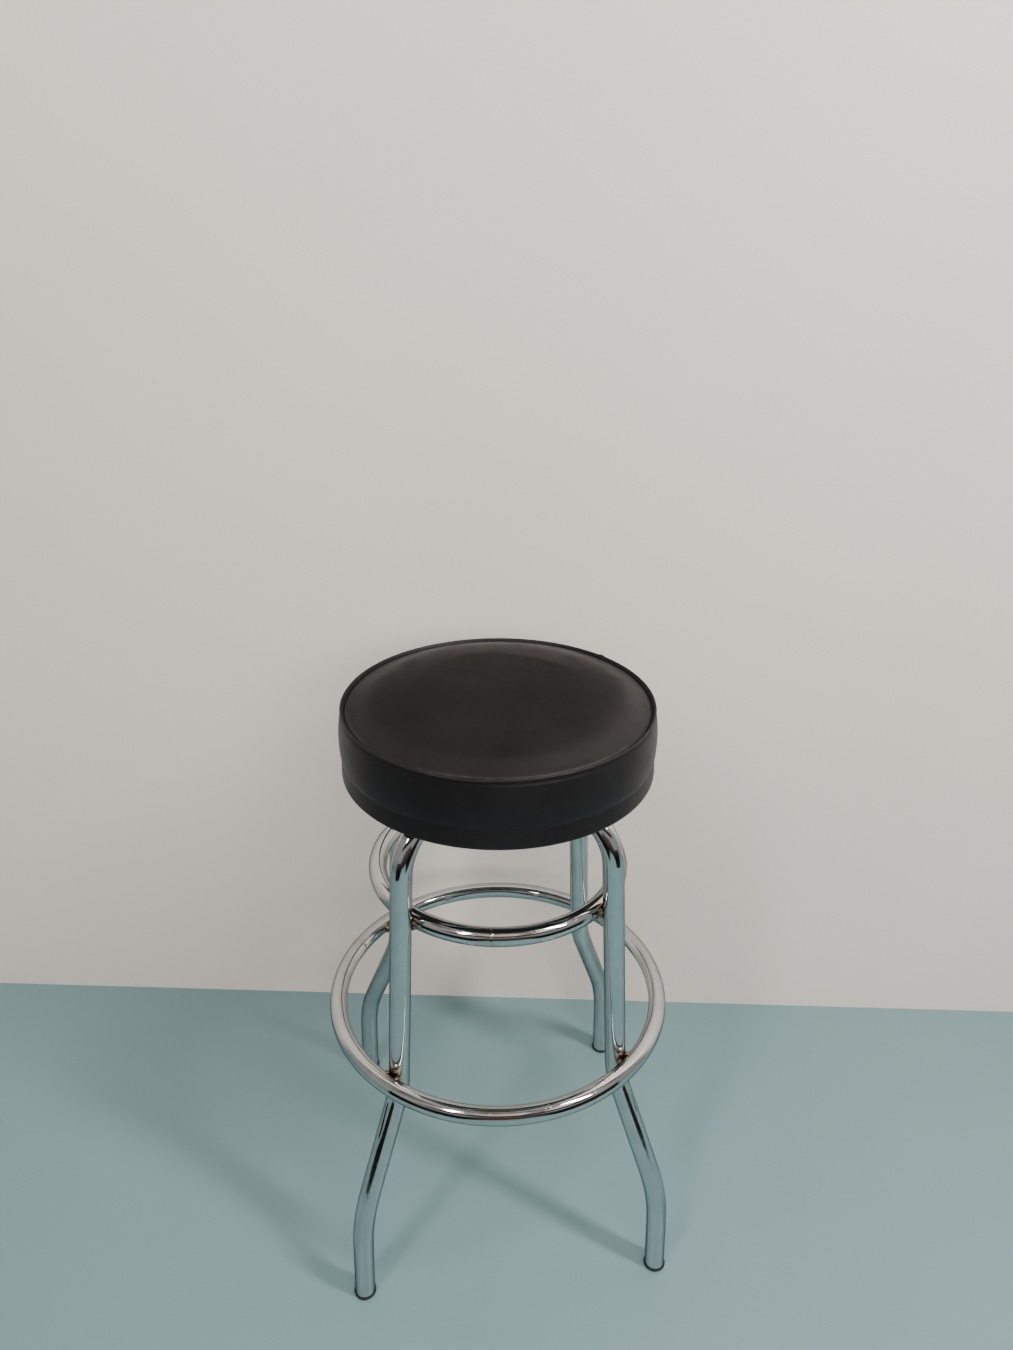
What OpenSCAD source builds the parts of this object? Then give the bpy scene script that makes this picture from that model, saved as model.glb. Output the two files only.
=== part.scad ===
// Backless bar stool with a footrest ring.
// Two bent tubes, each an upside-down U, cross at right angles under a round padded seat.
// A small brace ring is welded inside the legs and a large footrest ring outside them.
// Millimetres, +Z up, origin on the floor at the centre of the four feet.
// The legs stand on the diagonals, so the front of the stool faces -Y.

/* [Leg frames] */
// Outer diameter of the leg tube
leg_d = 25.4; // [24:0.1:26.4]
// Wall thickness of the leg tube
leg_wall = 1.2; // [1:0.1:1.6]
// Height of the plane that the seat is screwed down on
mount_z = 664; // [640:1:700]
// Distance from the stool's axis to a leg's centre, at the brace ring
waist_rho = 174.2; // [168:0.2:180]
// Outward lean of the straight part of a leg, in degrees
leg_lean = 3.8; // [2:0.1:6]
// Bend radius at the top of a leg, to the tube's centre
top_bend_r = 60; // [50:1:66]
// Height of the corner where a leg kicks outward
knee_z = 290; // [270:1:292]
// Bend radius at the knee, to the tube's centre
knee_bend_r = 120; // [70:1:130]
// Height of the corner where a leg turns nearly upright again
ankle_z = 128; // [110:1:140]
// Bend radius at the ankle, to the tube's centre
ankle_bend_r = 200; // [100:1:240]
// Outward lean of the last straight part of a leg, in degrees
foot_lean = 2.2; // [0.5:0.1:4]
// Distance from the stool's axis to a foot's centre
foot_rho = 268.5; // [255:0.5:275]

/* [Crossing] */
// Half the width of a tube where it is pressed flat for the crossing
lap_half_w = 15.5; // [14:0.1:16.5]
// Half the length of the flat part of the crossing
lap_half_l = 16.5; // [16:0.1:20]
// Distance from the axis to where the tube is fully round again
lap_taper_end = 46; // [36:1:60]
// Depth of the lower tube's rounded belly at the crossing
lap_belly = 14; // [12:0.1:15]

/* [Rings] */
// Outer diameter of the ring tube
ring_d = 22.2; // [20:0.1:24]
// Wall thickness of the ring tube
ring_wall = 1.2; // [1:0.1:1.6]
// Height of the brace ring's centre line
brace_z = 526; // [500:1:550]
// Height of the footrest ring's centre line
footrest_z = 317; // [312:1:345]
// Diameter of the vent holes on the underside of the rings
vent_d = 7; // [5:0.1:9]

/* [Seat] */
// Largest diameter of the padded seat
seat_d = 375; // [366:1:390]
// Diameter of the seam around the top of the seat
seam_d = 365.2; // [350:1:368]
// Height of the seam above the mounting plane
seam_rise = 86; // [76:1:96]
// Height of the crowned centre above the seam
crown = 12; // [6:1:20]
// Height of the pinch line above the mounting plane
pinch_rise = 26; // [24:1:32]
// Diameter of the plywood seat board
board_d = 358; // [350:1:360]
// Thickness of the plywood seat board
board_thick = 18; // [16:0.5:19]
// Thickness of the vinyl cover
vinyl = 1.2; // [0.8:0.1:1.4]
// Diameter of the dust cover
dust_cover_d = 338; // [330:1:344]

/* [Fasteners and feet] */
// Distance from the axis to each seat screw
screw_rho = 92; // [88:0.5:96]
// Diameter of a seat screw's head
screw_head_d = 11; // [10:0.1:12]
// Diameter of a seat screw's shank
screw_shank_d = 5.5; // [4.8:0.1:6]
// Depth of the pressed dimple that holds a screw head
dimple_depth = 5.5; // [4.5:0.1:6.5]
// Outer diameter of a foot cap
cap_d = 28; // [27.4:0.1:30]
// Thickness of a foot cap below the tube's end
cap_thick = 4; // [3.5:0.1:5]
// Staples in each ring of staples
staple_count = 24; // [16:1:30]

/* [Hidden] */

$fn = 96;
hull_fn = 32;
ring_fn = 360;
leg_r = leg_d / 2;
ring_r = ring_d / 2;
// Clearances between welded tubes and between stacked seat layers
weld_gap = 0.1;
layer_gap = 0.1;
// A bend or taper is this much thinner than the straight tube that laps over its end
tuck = 0.15;
slice = 0.02;
lap_over = 0.4;
// A cut that opens a face runs past it by this much
past = 1;
// Depth of the level cut below the end of a leg
cut_deep = 8;

// Azimuths of the legs: the lower tube is front left to rear right, the upper one crosses it
front_left = 225;
front_right = 315;
rear_right = 45;
rear_left = 135;
LEG_AZIMUTHS = [front_left, front_right, rear_right, rear_left];
lower_tube_azimuth = rear_right;
upper_tube_azimuth = rear_left;

// One leg in its own plane, x outward from the axis: corners, bend starts and bend centres
function leg_rho(z) = waist_rho + (brace_z - z) * tan(leg_lean);
function down(a) = [sin(a), -cos(a)];
function across(a) = [cos(a), sin(a)];
bar_z = mount_z - leg_r;
foot_end = [foot_rho, cap_thick];
ankle_corner = [foot_rho - (ankle_z - cap_thick) * tan(foot_lean), ankle_z];
flare = atan2(ankle_corner[0] - leg_rho(knee_z), knee_z - ankle_z);
top_corner = [leg_rho(bar_z), bar_z];
top_tangent = top_bend_r * tan((90 - leg_lean) / 2);
top_start = [top_corner[0] - top_tangent, bar_z];
top_centre = [top_start[0], bar_z - top_bend_r];
top_end = top_corner + top_tangent * down(leg_lean);
knee_corner = [leg_rho(knee_z), knee_z];
knee_tangent = knee_bend_r * tan((flare - leg_lean) / 2);
knee_start = knee_corner - knee_tangent * down(leg_lean);
knee_end = knee_corner + knee_tangent * down(flare);
knee_centre = knee_start + knee_bend_r * across(leg_lean);
ankle_tangent = ankle_bend_r * tan((flare - foot_lean) / 2);
ankle_start = ankle_corner - ankle_tangent * down(flare);
ankle_end = ankle_corner + ankle_tangent * down(foot_lean);
ankle_centre = ankle_end - ankle_bend_r * across(foot_lean);

// Rings touch the legs: the brace ring from inside, the footrest ring from outside
ring_offset = (leg_r + ring_r + weld_gap) / cos(leg_lean);
brace_rho = waist_rho - ring_offset;
footrest_rho = leg_rho(footrest_z) + ring_offset;
brace_contact = [brace_rho, brace_z] + (ring_r + weld_gap / 2) * across(leg_lean);
footrest_contact = [footrest_rho, footrest_z] - (ring_r + weld_gap / 2) * across(leg_lean);
bead_r = 5;
bead_side = 8.5;
cross_bead_r = 2.8;
cross_bead_half = 12;
seam_weld_proud = 0.5;
seam_weld_w = 3;
brace_seam_azimuth = 262;
footrest_seam_azimuth = 152;

// Seat screws and their dimples
dimple_r = 9;
dimple_mouth_r = 9.6;
dimple_roof_z = bar_z - leg_r + dimple_depth;
head_h = 3.2;
recess_w = 1.4;
recess_l = 6.4;
recess_deep = 1.9;
screw_length = 38;
hole_play = 0.4;

// Seat layers, from the mounting plane up
dust_thick = 0.8;
wrap_z = mount_z + dust_thick + layer_gap;
board_z = wrap_z + vinyl + layer_gap;
board_r = board_d / 2;
wrap_inner_r = 152;
seam_z = mount_z + seam_rise;
seam_r = seam_d / 2;
pinch_z = mount_z + pinch_rise;
pinch_r = seat_d / 2 - 2.5;
hem_z = wrap_z + 5;
hem_r = seat_d / 2 - 1.5;
hem_round = 5;
hem_bulge = 1;
side_bulge = seat_d / 2 - (seam_r + pinch_r) / 2;
crown_power = 3.5;
side_steps = 12;
crown_steps = 16;

// Staples: a crown bar and two legs, in a ring
staple_w = 10;
staple_wire = 1.1;
staple_flat = 0.5;
staple_leg = 7;
cover_staple_rho = 158;
dust_staple_rho = 163;

module lower_leg_tube() {
    color("gainsboro") rotate([0, 0, lower_tube_azimuth]) leg_frame(-1);
}

module upper_leg_tube() {
    color("gainsboro") rotate([0, 0, upper_tube_azimuth]) leg_frame(1);
}

// A hollow leg frame, cut off level above the foot caps;
// lap_side is the side its rounded back faces at the crossing
module leg_frame(lap_side) {
    difference() {
        leg_frame_solid(leg_r, 0, 0, lap_side);
        leg_frame_solid(leg_r - leg_wall, leg_wall, past, lap_side);
        translate([-foot_rho - leg_d, -leg_d, cap_thick - cut_deep])
            cube([2 * (foot_rho + leg_d), 2 * leg_d, cut_deep]);
        for (turn = [0, 180]) {
            rotate([0, 0, turn]) translate([screw_rho, 0, bar_z - leg_r])
                cylinder(d = screw_shank_d + hole_play, h = leg_d + past);
        }
    }
}

// The outside of a leg frame, or with wall and run_on above 0 the space inside it
module leg_frame_solid(r, wall, run_on, lap_side) {
    lap_block(wall, lap_side);
    for (turn = [0, 180]) {
        rotate([0, 0, turn]) {
            lap_taper(r, wall, lap_side);
            difference() {
                leg_arm(r, run_on);
                screw_dimple(wall);
            }
        }
    }
}

// One arm: crossbar, top bend, leg, knee, flare, ankle and foot
module leg_arm(r, run_on) {
    tube_run([lap_taper_end, bar_z], top_start, r);
    tube_bend(top_centre, top_bend_r, leg_lean, 90, r);
    tube_run(top_end, knee_start, r);
    tube_bend(knee_centre, knee_bend_r, 180 + leg_lean, 180 + flare, r);
    tube_run(knee_end, ankle_start, r);
    tube_bend(ankle_centre, ankle_bend_r, foot_lean, flare, r);
    tube_run(ankle_end, foot_end + (run_on + past) * down(foot_lean), r);
}

// A straight stretch of tube, run on a little at both ends to lap over the bends
module tube_run(from, to, r) {
    step = to - from;
    translate([from[0], 0, from[1]]) rotate([0, atan2(step[0], step[1]), 0])
        translate([0, 0, -lap_over]) cylinder(r = r, h = norm(step) + 2 * lap_over);
}

module tube_bend(centre, bend_r, a0, a1, r) {
    translate([centre[0], 0, centre[1]]) rotate([90, 0, 0]) rotate([0, 0, a0])
        rotate_extrude(angle = a1 - a0) translate([bend_r, 0]) circle(r = r - tuck);
}

// The pressed dimple under a screw head, grown by the tube's wall for the inside
module screw_dimple(wall) {
    deep = dimple_depth + wall;
    translate([screw_rho, 0, bar_z - leg_r - past])
        cylinder(r1 = dimple_mouth_r + wall, r2 = dimple_r + wall, h = deep + past);
}

// Half-round section of a tube pressed flat on the side that meets the other tube
function lap_points(wall, lap_side, inset) = let (
    half_w = lap_half_w - wall - inset,
    flat = lap_side * (weld_gap / 2 + wall + inset),
    crest = lap_side * ((lap_side > 0 ? leg_r : lap_belly) - wall - inset)
) [for (i = [0 : 24]) [half_w * cos(7.5 * i), flat + (crest - flat) * sin(7.5 * i)]];

module along_x(x, h) {
    translate([x, 0, bar_z]) rotate([90, 0, 90]) linear_extrude(h) children();
}

module lap_block(wall, lap_side) {
    along_x(-lap_half_l, 2 * lap_half_l) polygon(lap_points(wall, lap_side, 0));
}

// The change from the half-round crossing to the round tube
module lap_taper(r, wall, lap_side) {
    hull() {
        along_x(lap_half_l - slice, slice) polygon(lap_points(wall, lap_side, tuck));
        along_x(lap_taper_end, slice) circle(r = r - tuck, $fn = hull_fn);
    }
}

module brace_ring() {
    color("gainsboro") hollow_ring(brace_rho, brace_z);
}

module footrest_ring() {
    color("gainsboro") hollow_ring(footrest_rho, footrest_z);
}

module hollow_ring(rho, z) {
    difference() {
        translate([0, 0, z]) rotate_extrude($fn = ring_fn) translate([rho, 0]) difference() {
            circle(r = ring_r);
            circle(r = ring_r - ring_wall);
        }
        for (a = [0 : 90 : 270]) {
            rotate([0, 0, a]) translate([rho, 0, z - ring_r - past])
                cylinder(d = vent_d, h = ring_r + past);
        }
    }
}

// The outside of a ring; turn is where its tube's outline starts, away from any weld
module solid_ring(rho, z, turn) {
    translate([0, 0, z]) rotate_extrude($fn = ring_fn) translate([rho, 0]) rotate(turn) circle(r = ring_r);
}

// The two weld runs along the lower tube's sides, under the upper tube
module cross_weld_beads() {
    color("darkgoldenrod") difference() {
        rotate([0, 0, lower_tube_azimuth]) {
            for (side = [-1, 1]) {
                translate([-cross_bead_half, side * (lap_half_w + 0.6), bar_z - 1.2])
                    rotate([0, 90, 0]) cylinder(r = cross_bead_r, h = 2 * cross_bead_half);
            }
        }
        rotate([0, 0, lower_tube_azimuth]) lap_block(0, -1);
        rotate([0, 0, upper_tube_azimuth]) {
            lap_block(0, 1);
            lap_taper(leg_r, 0, 1);
            rotate([0, 0, 180]) lap_taper(leg_r, 0, 1);
        }
    }
}

module brace_ring_weld_beads() {
    color("darkgoldenrod") ring_weld_beads(brace_contact, brace_rho, brace_z, 180);
}

module footrest_weld_beads() {
    color("darkgoldenrod") ring_weld_beads(footrest_contact, footrest_rho, footrest_z, 0);
}

// Weld metal on both sides of each point where a leg touches a ring.
// turn is the side of the ring's tube that faces away from the leg.
module ring_weld_beads(contact, rho, z, turn) {
    difference() {
        for (a = LEG_AZIMUTHS) {
            rotate([0, 0, a]) {
                difference() {
                    for (side = [-1, 1]) {
                        translate([contact[0], side * bead_side, contact[1]])
                            rotate([0, 0, turn + 180]) sphere(r = bead_r, $fn = 48);
                    }
                    tube_run(top_end, knee_start, leg_r);
                }
            }
        }
        solid_ring(rho, z, turn);
    }
}

module brace_ring_seam_weld() {
    color("darkgoldenrod") seam_weld(brace_rho, brace_z, brace_seam_azimuth);
}

module footrest_ring_seam_weld() {
    color("darkgoldenrod") seam_weld(footrest_rho, footrest_z, footrest_seam_azimuth);
}

// The thin raised band where the two ends of a ring's tube were welded together
module seam_weld(rho, z, azimuth) {
    difference() {
        rotate([0, 0, azimuth]) translate([rho, -seam_weld_w / 2, z]) rotate([-90, 0, 0])
            cylinder(r = ring_r + seam_weld_proud, h = seam_weld_w);
        solid_ring(rho, z, 0);
    }
}

module foot_cap_front_left() {
    foot_cap(front_left);
}

module foot_cap_front_right() {
    foot_cap(front_right);
}

module foot_cap_rear_left() {
    foot_cap(rear_left);
}

module foot_cap_rear_right() {
    foot_cap(rear_right);
}

// A moulded cap: a round-edged disc under the tube's end and a hollow ribbed plug inside it
module foot_cap(azimuth) {
    edge = 2.4;
    color("#262626") rotate([0, 0, azimuth]) translate([foot_rho, 0, 0]) {
        rotate_extrude() polygon(concat(
            [[0, 0]],
            [for (i = [0 : 6]) [cap_d / 2 - edge + edge * sin(15 * i), edge - edge * cos(15 * i)]],
            [[cap_d / 2, cap_thick], [0, cap_thick]]
        ));
        translate([0, 0, cap_thick]) rotate([0, -foot_lean, 0]) cap_plug();
    }
}

// The ribbed plug, in line with the leaning tube; it starts inside the disc below it
module cap_plug() {
    plug_r = leg_r - leg_wall - 1.1;
    rib_r = leg_r - leg_wall - 0.05;
    root = 1.6;
    plug_h = 18;
    difference() {
        union() {
            translate([0, 0, -root]) cylinder(r = plug_r, h = root + plug_h);
            for (rib = [1 : 3]) {
                translate([0, 0, 4.5 * rib]) cylinder(r = rib_r, h = 1.5);
            }
        }
        translate([0, 0, root]) cylinder(r = plug_r - 2, h = plug_h);
    }
}

// The plywood board, with the holes its screws and staples have made
module seat_board() {
    color("burlywood") difference() {
        translate([0, 0, board_z]) cylinder(r = board_r, h = board_thick, $fn = 180);
        screw_shanks(0);
        staple_ring(cover_staple_rho, wrap_z);
        staple_ring(dust_staple_rho, mount_z);
    }
}

// Vinyl side: from the seam down over the bulge, the pinch line and the hem
function side_points(inset) = concat(
    [for (i = [0 : side_steps]) let (u = i / side_steps)
        [seam_r + (pinch_r - seam_r) * u + side_bulge * sin(180 * u) - inset,
         seam_z - layer_gap + (pinch_z - seam_z) * u]],
    [for (i = [1 : side_steps]) let (u = i / side_steps)
        [pinch_r + (hem_r - pinch_r) * u + hem_bulge * sin(180 * u) - inset,
         pinch_z + (hem_z - pinch_z) * u]]
);
function hem_points(r) = [for (i = [1 : 6]) [hem_r - hem_round + r * cos(15 * i), hem_z - r * sin(15 * i)]];
function reversed(list) = [for (i = [len(list) - 1 : -1 : 0]) list[i]];
function crown_height(r) = seam_z + crown * (1 - pow(r / seam_r, crown_power));
function crown_points(drop, edge_r) = [for (i = [0 : crown_steps]) let (r = edge_r * i / crown_steps)
    [r, crown_height(r) - drop]];

module seat_side_band() {
    color("#1c1b1c") difference() {
        rotate_extrude($fn = 180) polygon(concat(
            side_points(0),
            hem_points(hem_round),
            [[wrap_inner_r, wrap_z], [wrap_inner_r, wrap_z + vinyl]],
            reversed(concat(side_points(vinyl), hem_points(hem_round - vinyl)))
        ));
        staple_ring(cover_staple_rho, wrap_z);
        staple_ring(dust_staple_rho, mount_z);
    }
}

module seat_top_panel() {
    color("#1c1b1c") rotate_extrude($fn = 180) polygon(concat(
        crown_points(0, seam_r),
        reversed(crown_points(vinyl, seam_r - vinyl / 2))
    ));
}

// Foam: over the board, down around its edge, and up to the inside of the cover
module foam_cushion() {
    inset = vinyl + layer_gap;
    skirt_z = board_z + layer_gap;
    color("khaki") difference() {
        rotate_extrude($fn = 180) polygon(concat(
            [[0, skirt_z]],
            crown_points(inset, seam_r - 2 * vinyl),
            [for (p = side_points(inset)) if (p[1] < seam_z - 3 * vinyl) p],
            [[hem_r - inset, skirt_z]]
        ));
        translate([0, 0, board_z - past])
            cylinder(r = board_r + layer_gap, h = board_thick + past + layer_gap, $fn = 180);
    }
}

module dust_cover() {
    color("#2a2523") difference() {
        translate([0, 0, mount_z]) cylinder(d = dust_cover_d, h = dust_thick, $fn = 180);
        screw_shanks(hole_play);
        staple_ring(dust_staple_rho, mount_z);
    }
}

module cover_staples() {
    color("silver") staple_ring(cover_staple_rho, wrap_z);
}

module dust_cover_staples() {
    color("silver") staple_ring(dust_staple_rho, mount_z);
}

// Staples driven upward; their crowns lie in the layer whose underside is at z
module staple_ring(rho, z) {
    for (i = [0 : staple_count - 1]) {
        rotate([0, 0, (i + 0.5) * 360 / staple_count]) translate([rho, 0, z]) {
            translate([-staple_wire / 2, -staple_w / 2, 0]) cube([staple_wire, staple_w, staple_flat]);
            for (side = [-1, 1]) {
                translate([-staple_wire / 2, side * (staple_w - staple_flat) / 2 - staple_flat / 2, 0])
                    cube([staple_wire, staple_flat, staple_leg]);
            }
        }
    }
}

module screw_shanks(play) {
    for (a = LEG_AZIMUTHS) {
        rotate([0, 0, a]) translate([screw_rho, 0, dimple_roof_z])
            cylinder(d = screw_shank_d + play, h = screw_length);
    }
}

// Pan-head cross-recess screws, heads down in the tubes' dimples
module seat_screws() {
    color("silver") {
        for (a = LEG_AZIMUTHS) {
            rotate([0, 0, a]) translate([screw_rho, 0, dimple_roof_z]) difference() {
                union() {
                    cylinder(d = screw_shank_d, h = screw_length - 4);
                    translate([0, 0, screw_length - 4])
                        cylinder(d1 = screw_shank_d, d2 = 1, h = 4);
                    rotate([180, 0, 0]) rotate_extrude() polygon([
                        [0, 0], [screw_head_d / 2, 0], [screw_head_d / 2, head_h * 0.4],
                        [screw_head_d / 2 - 1, head_h * 0.8], [screw_head_d / 2 - 2.4, head_h], [0, head_h]
                    ]);
                }
                for (turn = [0, 90]) {
                    rotate([0, 0, turn]) translate([-recess_l / 2, -recess_w / 2, -head_h - past])
                        cube([recess_l, recess_w, recess_deep + past]);
                }
            }
        }
    }
}

lower_leg_tube();
upper_leg_tube();
brace_ring();
footrest_ring();
cross_weld_beads();
brace_ring_weld_beads();
footrest_weld_beads();
brace_ring_seam_weld();
footrest_ring_seam_weld();
foot_cap_front_left();
foot_cap_front_right();
foot_cap_rear_left();
foot_cap_rear_right();
seat_board();
foam_cushion();
seat_top_panel();
seat_side_band();
cover_staples();
dust_cover();
dust_cover_staples();
seat_screws();
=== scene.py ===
from math import acos, atan, cos, hypot, pi, radians, sin, tan

import bpy
import numpy as np
from mathutils import Matrix, Vector, noise


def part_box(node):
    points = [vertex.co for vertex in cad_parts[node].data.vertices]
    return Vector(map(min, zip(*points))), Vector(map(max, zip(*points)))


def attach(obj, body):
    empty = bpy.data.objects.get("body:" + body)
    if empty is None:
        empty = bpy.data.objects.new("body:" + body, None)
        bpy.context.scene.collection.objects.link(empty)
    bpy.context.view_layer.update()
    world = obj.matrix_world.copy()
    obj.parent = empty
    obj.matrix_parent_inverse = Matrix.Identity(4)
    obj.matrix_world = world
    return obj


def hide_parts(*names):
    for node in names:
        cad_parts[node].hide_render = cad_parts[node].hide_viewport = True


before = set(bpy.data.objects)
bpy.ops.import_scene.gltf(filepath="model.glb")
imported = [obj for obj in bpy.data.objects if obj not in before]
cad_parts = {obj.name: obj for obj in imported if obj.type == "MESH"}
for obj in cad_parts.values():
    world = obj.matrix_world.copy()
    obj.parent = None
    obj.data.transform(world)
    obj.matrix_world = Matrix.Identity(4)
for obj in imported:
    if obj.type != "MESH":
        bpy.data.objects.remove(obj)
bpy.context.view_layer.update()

# ---------------------------------------------------------------- sizes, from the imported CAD
foot_lo, foot_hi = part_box("foot_cap_rear_right")
leg_lo, leg_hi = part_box("lower_leg_tube")
FOOT_RHO = hypot((foot_lo.x + foot_hi.x) / 2, (foot_lo.y + foot_hi.y) / 2)
CAP_R = (foot_hi.x - foot_lo.x) / 2
CAP_TOP = leg_lo.z
LEG_R = leg_hi.x - (foot_lo.x + foot_hi.x) / 2
MOUNT_Z = leg_hi.z
BAR_Z = MOUNT_Z - LEG_R
LEG_AZIMUTHS = [radians(a) for a in (225, 315, 45, 135)]


def ring_size(node):
    lo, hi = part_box(node)
    r = (hi.z - lo.z) / 2
    return hi.x - r, (hi.z + lo.z) / 2, r


BRACE_RHO, BRACE_Z, RING_R = ring_size("brace_ring")
REST_RHO, REST_Z, _ = ring_size("footrest_ring")
TOUCH = LEG_R + RING_R + 0.0001
LEAN = atan((REST_RHO - BRACE_RHO - 2 * TOUCH) / (BRACE_Z - REST_Z))
LEAN = atan((REST_RHO - BRACE_RHO - 2 * TOUCH / cos(LEAN)) / (BRACE_Z - REST_Z))
WAIST_RHO = BRACE_RHO + TOUCH / cos(LEAN)

top_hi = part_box("seat_top_panel")[1]
side_lo, side_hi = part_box("seat_side_band")
board_lo, board_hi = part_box("seat_board")
screw_lo, screw_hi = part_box("seat_screws")
SEAM_R = top_hi.x
CROWN_Z = top_hi.z
SEAM_Z = side_hi.z
SEAT_R = side_hi.x
WRAP_Z = side_lo.z
DUST_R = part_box("dust_cover")[1].x

# sizes that the boxes don't give, as in part.scad
PINCH_Z = MOUNT_Z + 0.026  # where the board's edge shows in the side of the cover
STAPLE_COUNT = 24
STAPLE_RHO = 0.163
SCREW_RHO = 0.092
VINYL = 0.0012  # thickness
WALL = 0.0012  # of the tubes
KNEE_Z = 0.290
ANKLE_Z = 0.128
FOOT_LEAN = radians(2.2)
BEND_RADII = (0.060, 0.120, 0.200)  # top, knee and ankle
LAP_HALF_W = 0.0155  # half the tubes' width where they cross
DIMPLE_DEPTH = 0.0055


# ---------------------------------------------------------------- helpers
def smooth(x, a, b):
    t = np.clip((np.asarray(x, float) - a) / (b - a), 0, 1)
    return t * t * (3 - 2 * t)


def curve(x, points):
    """A smooth curve through (x, y) points."""
    xs = np.array([p[0] for p in points], float)
    ys = np.array([p[1] for p in points], float)
    slope = np.gradient(ys, xs)
    flat = np.concatenate([[True], (np.diff(ys[:-1]) * np.diff(ys[1:]) <= 0), [True]])
    slope[flat] = 0
    x = np.clip(np.asarray(x, float), xs[0], xs[-1])
    i = np.clip(np.searchsorted(xs, x, side="right") - 1, 0, len(xs) - 2)
    h = xs[i + 1] - xs[i]
    t = (x - xs[i]) / h
    return (ys[i] * (2 * t**3 - 3 * t**2 + 1) + slope[i] * h * (t**3 - 2 * t**2 + t)
            + ys[i + 1] * (3 * t**2 - 2 * t**3) + slope[i + 1] * h * (t**3 - t**2))


def bell(x, at, width):
    """A smooth bump of height 1 at x = at."""
    return np.exp(-((x - at) / width) ** 2)


def circle(cols):
    """Equal angles around one turn."""
    return np.arange(cols) * 2 * pi / cols


def turn_from(a, degrees):
    """The angle from a bearing in degrees to a, between -pi and pi."""
    return (a - radians(degrees) + pi) % (2 * pi) - pi


def polar(r, a, z):
    """Points from arrays of radius, angle about the z axis and height."""
    return np.stack(np.broadcast_arrays(r * np.cos(a), r * np.sin(a), z), -1)


def spot(r, a, z):
    """One point from radius, angle about the z axis and height."""
    return Vector((r * cos(a), r * sin(a), z))


def soft_min(a, b, k):
    h = np.maximum(k - np.abs(a - b), 0) / k
    return np.minimum(a, b) - h * h * k / 4


def soft_max(a, b, k):
    return -soft_min(-a, -b, k)


def waves(seed, terms, low, high):
    """Seeded sums of sines for smooth irregularities: f(angle) with whole periods per turn."""
    rng = np.random.default_rng(seed)
    n = rng.integers(low, high, terms)
    phase = rng.uniform(0, 2 * pi, terms)
    size = rng.uniform(0.4, 1, terms)
    size /= size.sum()
    return lambda a: sum(s * np.sin(k * np.asarray(a) + p) for s, k, p in zip(size, n, phase))


def noise_at(points, scale, seed=0.0):
    return np.array([noise.noise(Vector((p[0] * scale + seed, p[1] * scale, p[2] * scale))) for p in points])


def shade_smooth(mesh):
    mesh.polygons.foreach_set("use_smooth", [True] * len(mesh.polygons))


def new_mesh(name, points, faces, smooth_shade=True):
    mesh = bpy.data.meshes.new(name)
    mesh.from_pydata([tuple(p) for p in points], [], [tuple(f) for f in faces])
    mesh.update()
    if smooth_shade:
        shade_smooth(mesh)
    ob = bpy.data.objects.new(name, mesh)
    bpy.context.scene.collection.objects.link(ob)
    return ob


def grid_faces(rows, cols, wrap_rows=False, start=0, flip=False):
    """Four-sided faces between rings of points, as lists of their numbers."""
    i = np.arange(rows if wrap_rows else rows - 1)[:, None]
    j = np.arange(cols)[None, :]
    a = i * cols + j
    b = i * cols + (j + 1) % cols
    c = ((i + 1) % rows) * cols + (j + 1) % cols
    d = ((i + 1) % rows) * cols + j
    quads = np.stack([a, b, c, d] if not flip else [d, c, b, a], -1).reshape(-1, 4) + start
    return quads.tolist()


def add_float(ob, name, values):
    attribute = ob.data.attributes.new(name, "FLOAT", "POINT")
    attribute.data.foreach_set("value", np.asarray(values, np.float32))


def points_of(ob):
    co = np.zeros(len(ob.data.vertices) * 3)
    ob.data.vertices.foreach_get("co", co)
    return co.reshape(-1, 3)


def set_points(ob, co):
    ob.data.vertices.foreach_set("co", np.asarray(co, np.float32).ravel())
    ob.data.update()


def apply_modifiers(ob):
    dg = bpy.context.evaluated_depsgraph_get()
    mesh = bpy.data.meshes.new_from_object(ob.evaluated_get(dg), depsgraph=dg)
    ob.modifiers.clear()
    old = ob.data
    ob.data = mesh
    bpy.data.meshes.remove(old)


def subdivide(ob, levels):
    fine = ob.modifiers.new("fine", "SUBSURF")
    fine.levels = fine.render_levels = levels
    apply_modifiers(ob)


def cut_away(ob, cutter):
    """Cuts one mesh out of another, and removes the cutter."""
    cut = ob.modifiers.new("cut", "BOOLEAN")
    cut.operation, cut.solver, cut.object = "DIFFERENCE", "EXACT", cutter
    apply_modifiers(ob)
    bpy.data.objects.remove(cutter)


def sharp_by_angle(ob, degrees):
    ob.data.set_sharp_from_angle(angle=radians(degrees))


def finish_piece(ob, material, node):
    ob.data.materials.clear()
    ob.data.materials.append(material)
    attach(ob, "root")
    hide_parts(node)


def lathe(name, profile, cols):
    """Revolves (r, z) points about the z axis; a point with r 0 closes an end."""
    points, faces, ring_starts = [], [], []
    for r, z in profile:
        ring_starts.append((len(points), r == 0))
        if r == 0:
            points.append((0, 0, z))
        else:
            points += [(r * cos(2 * pi * k / cols), r * sin(2 * pi * k / cols), z) for k in range(cols)]
    for (s0, dot0), (s1, dot1) in zip(ring_starts, ring_starts[1:]):
        for k in range(cols):
            k1 = (k + 1) % cols
            if dot0:
                faces.append((s0, s1 + k1, s1 + k))
            elif dot1:
                faces.append((s0 + k, s0 + k1, s1))
            else:
                faces.append((s0 + k, s0 + k1, s1 + k1, s1 + k))
    return new_mesh(name, points, faces)


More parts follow.
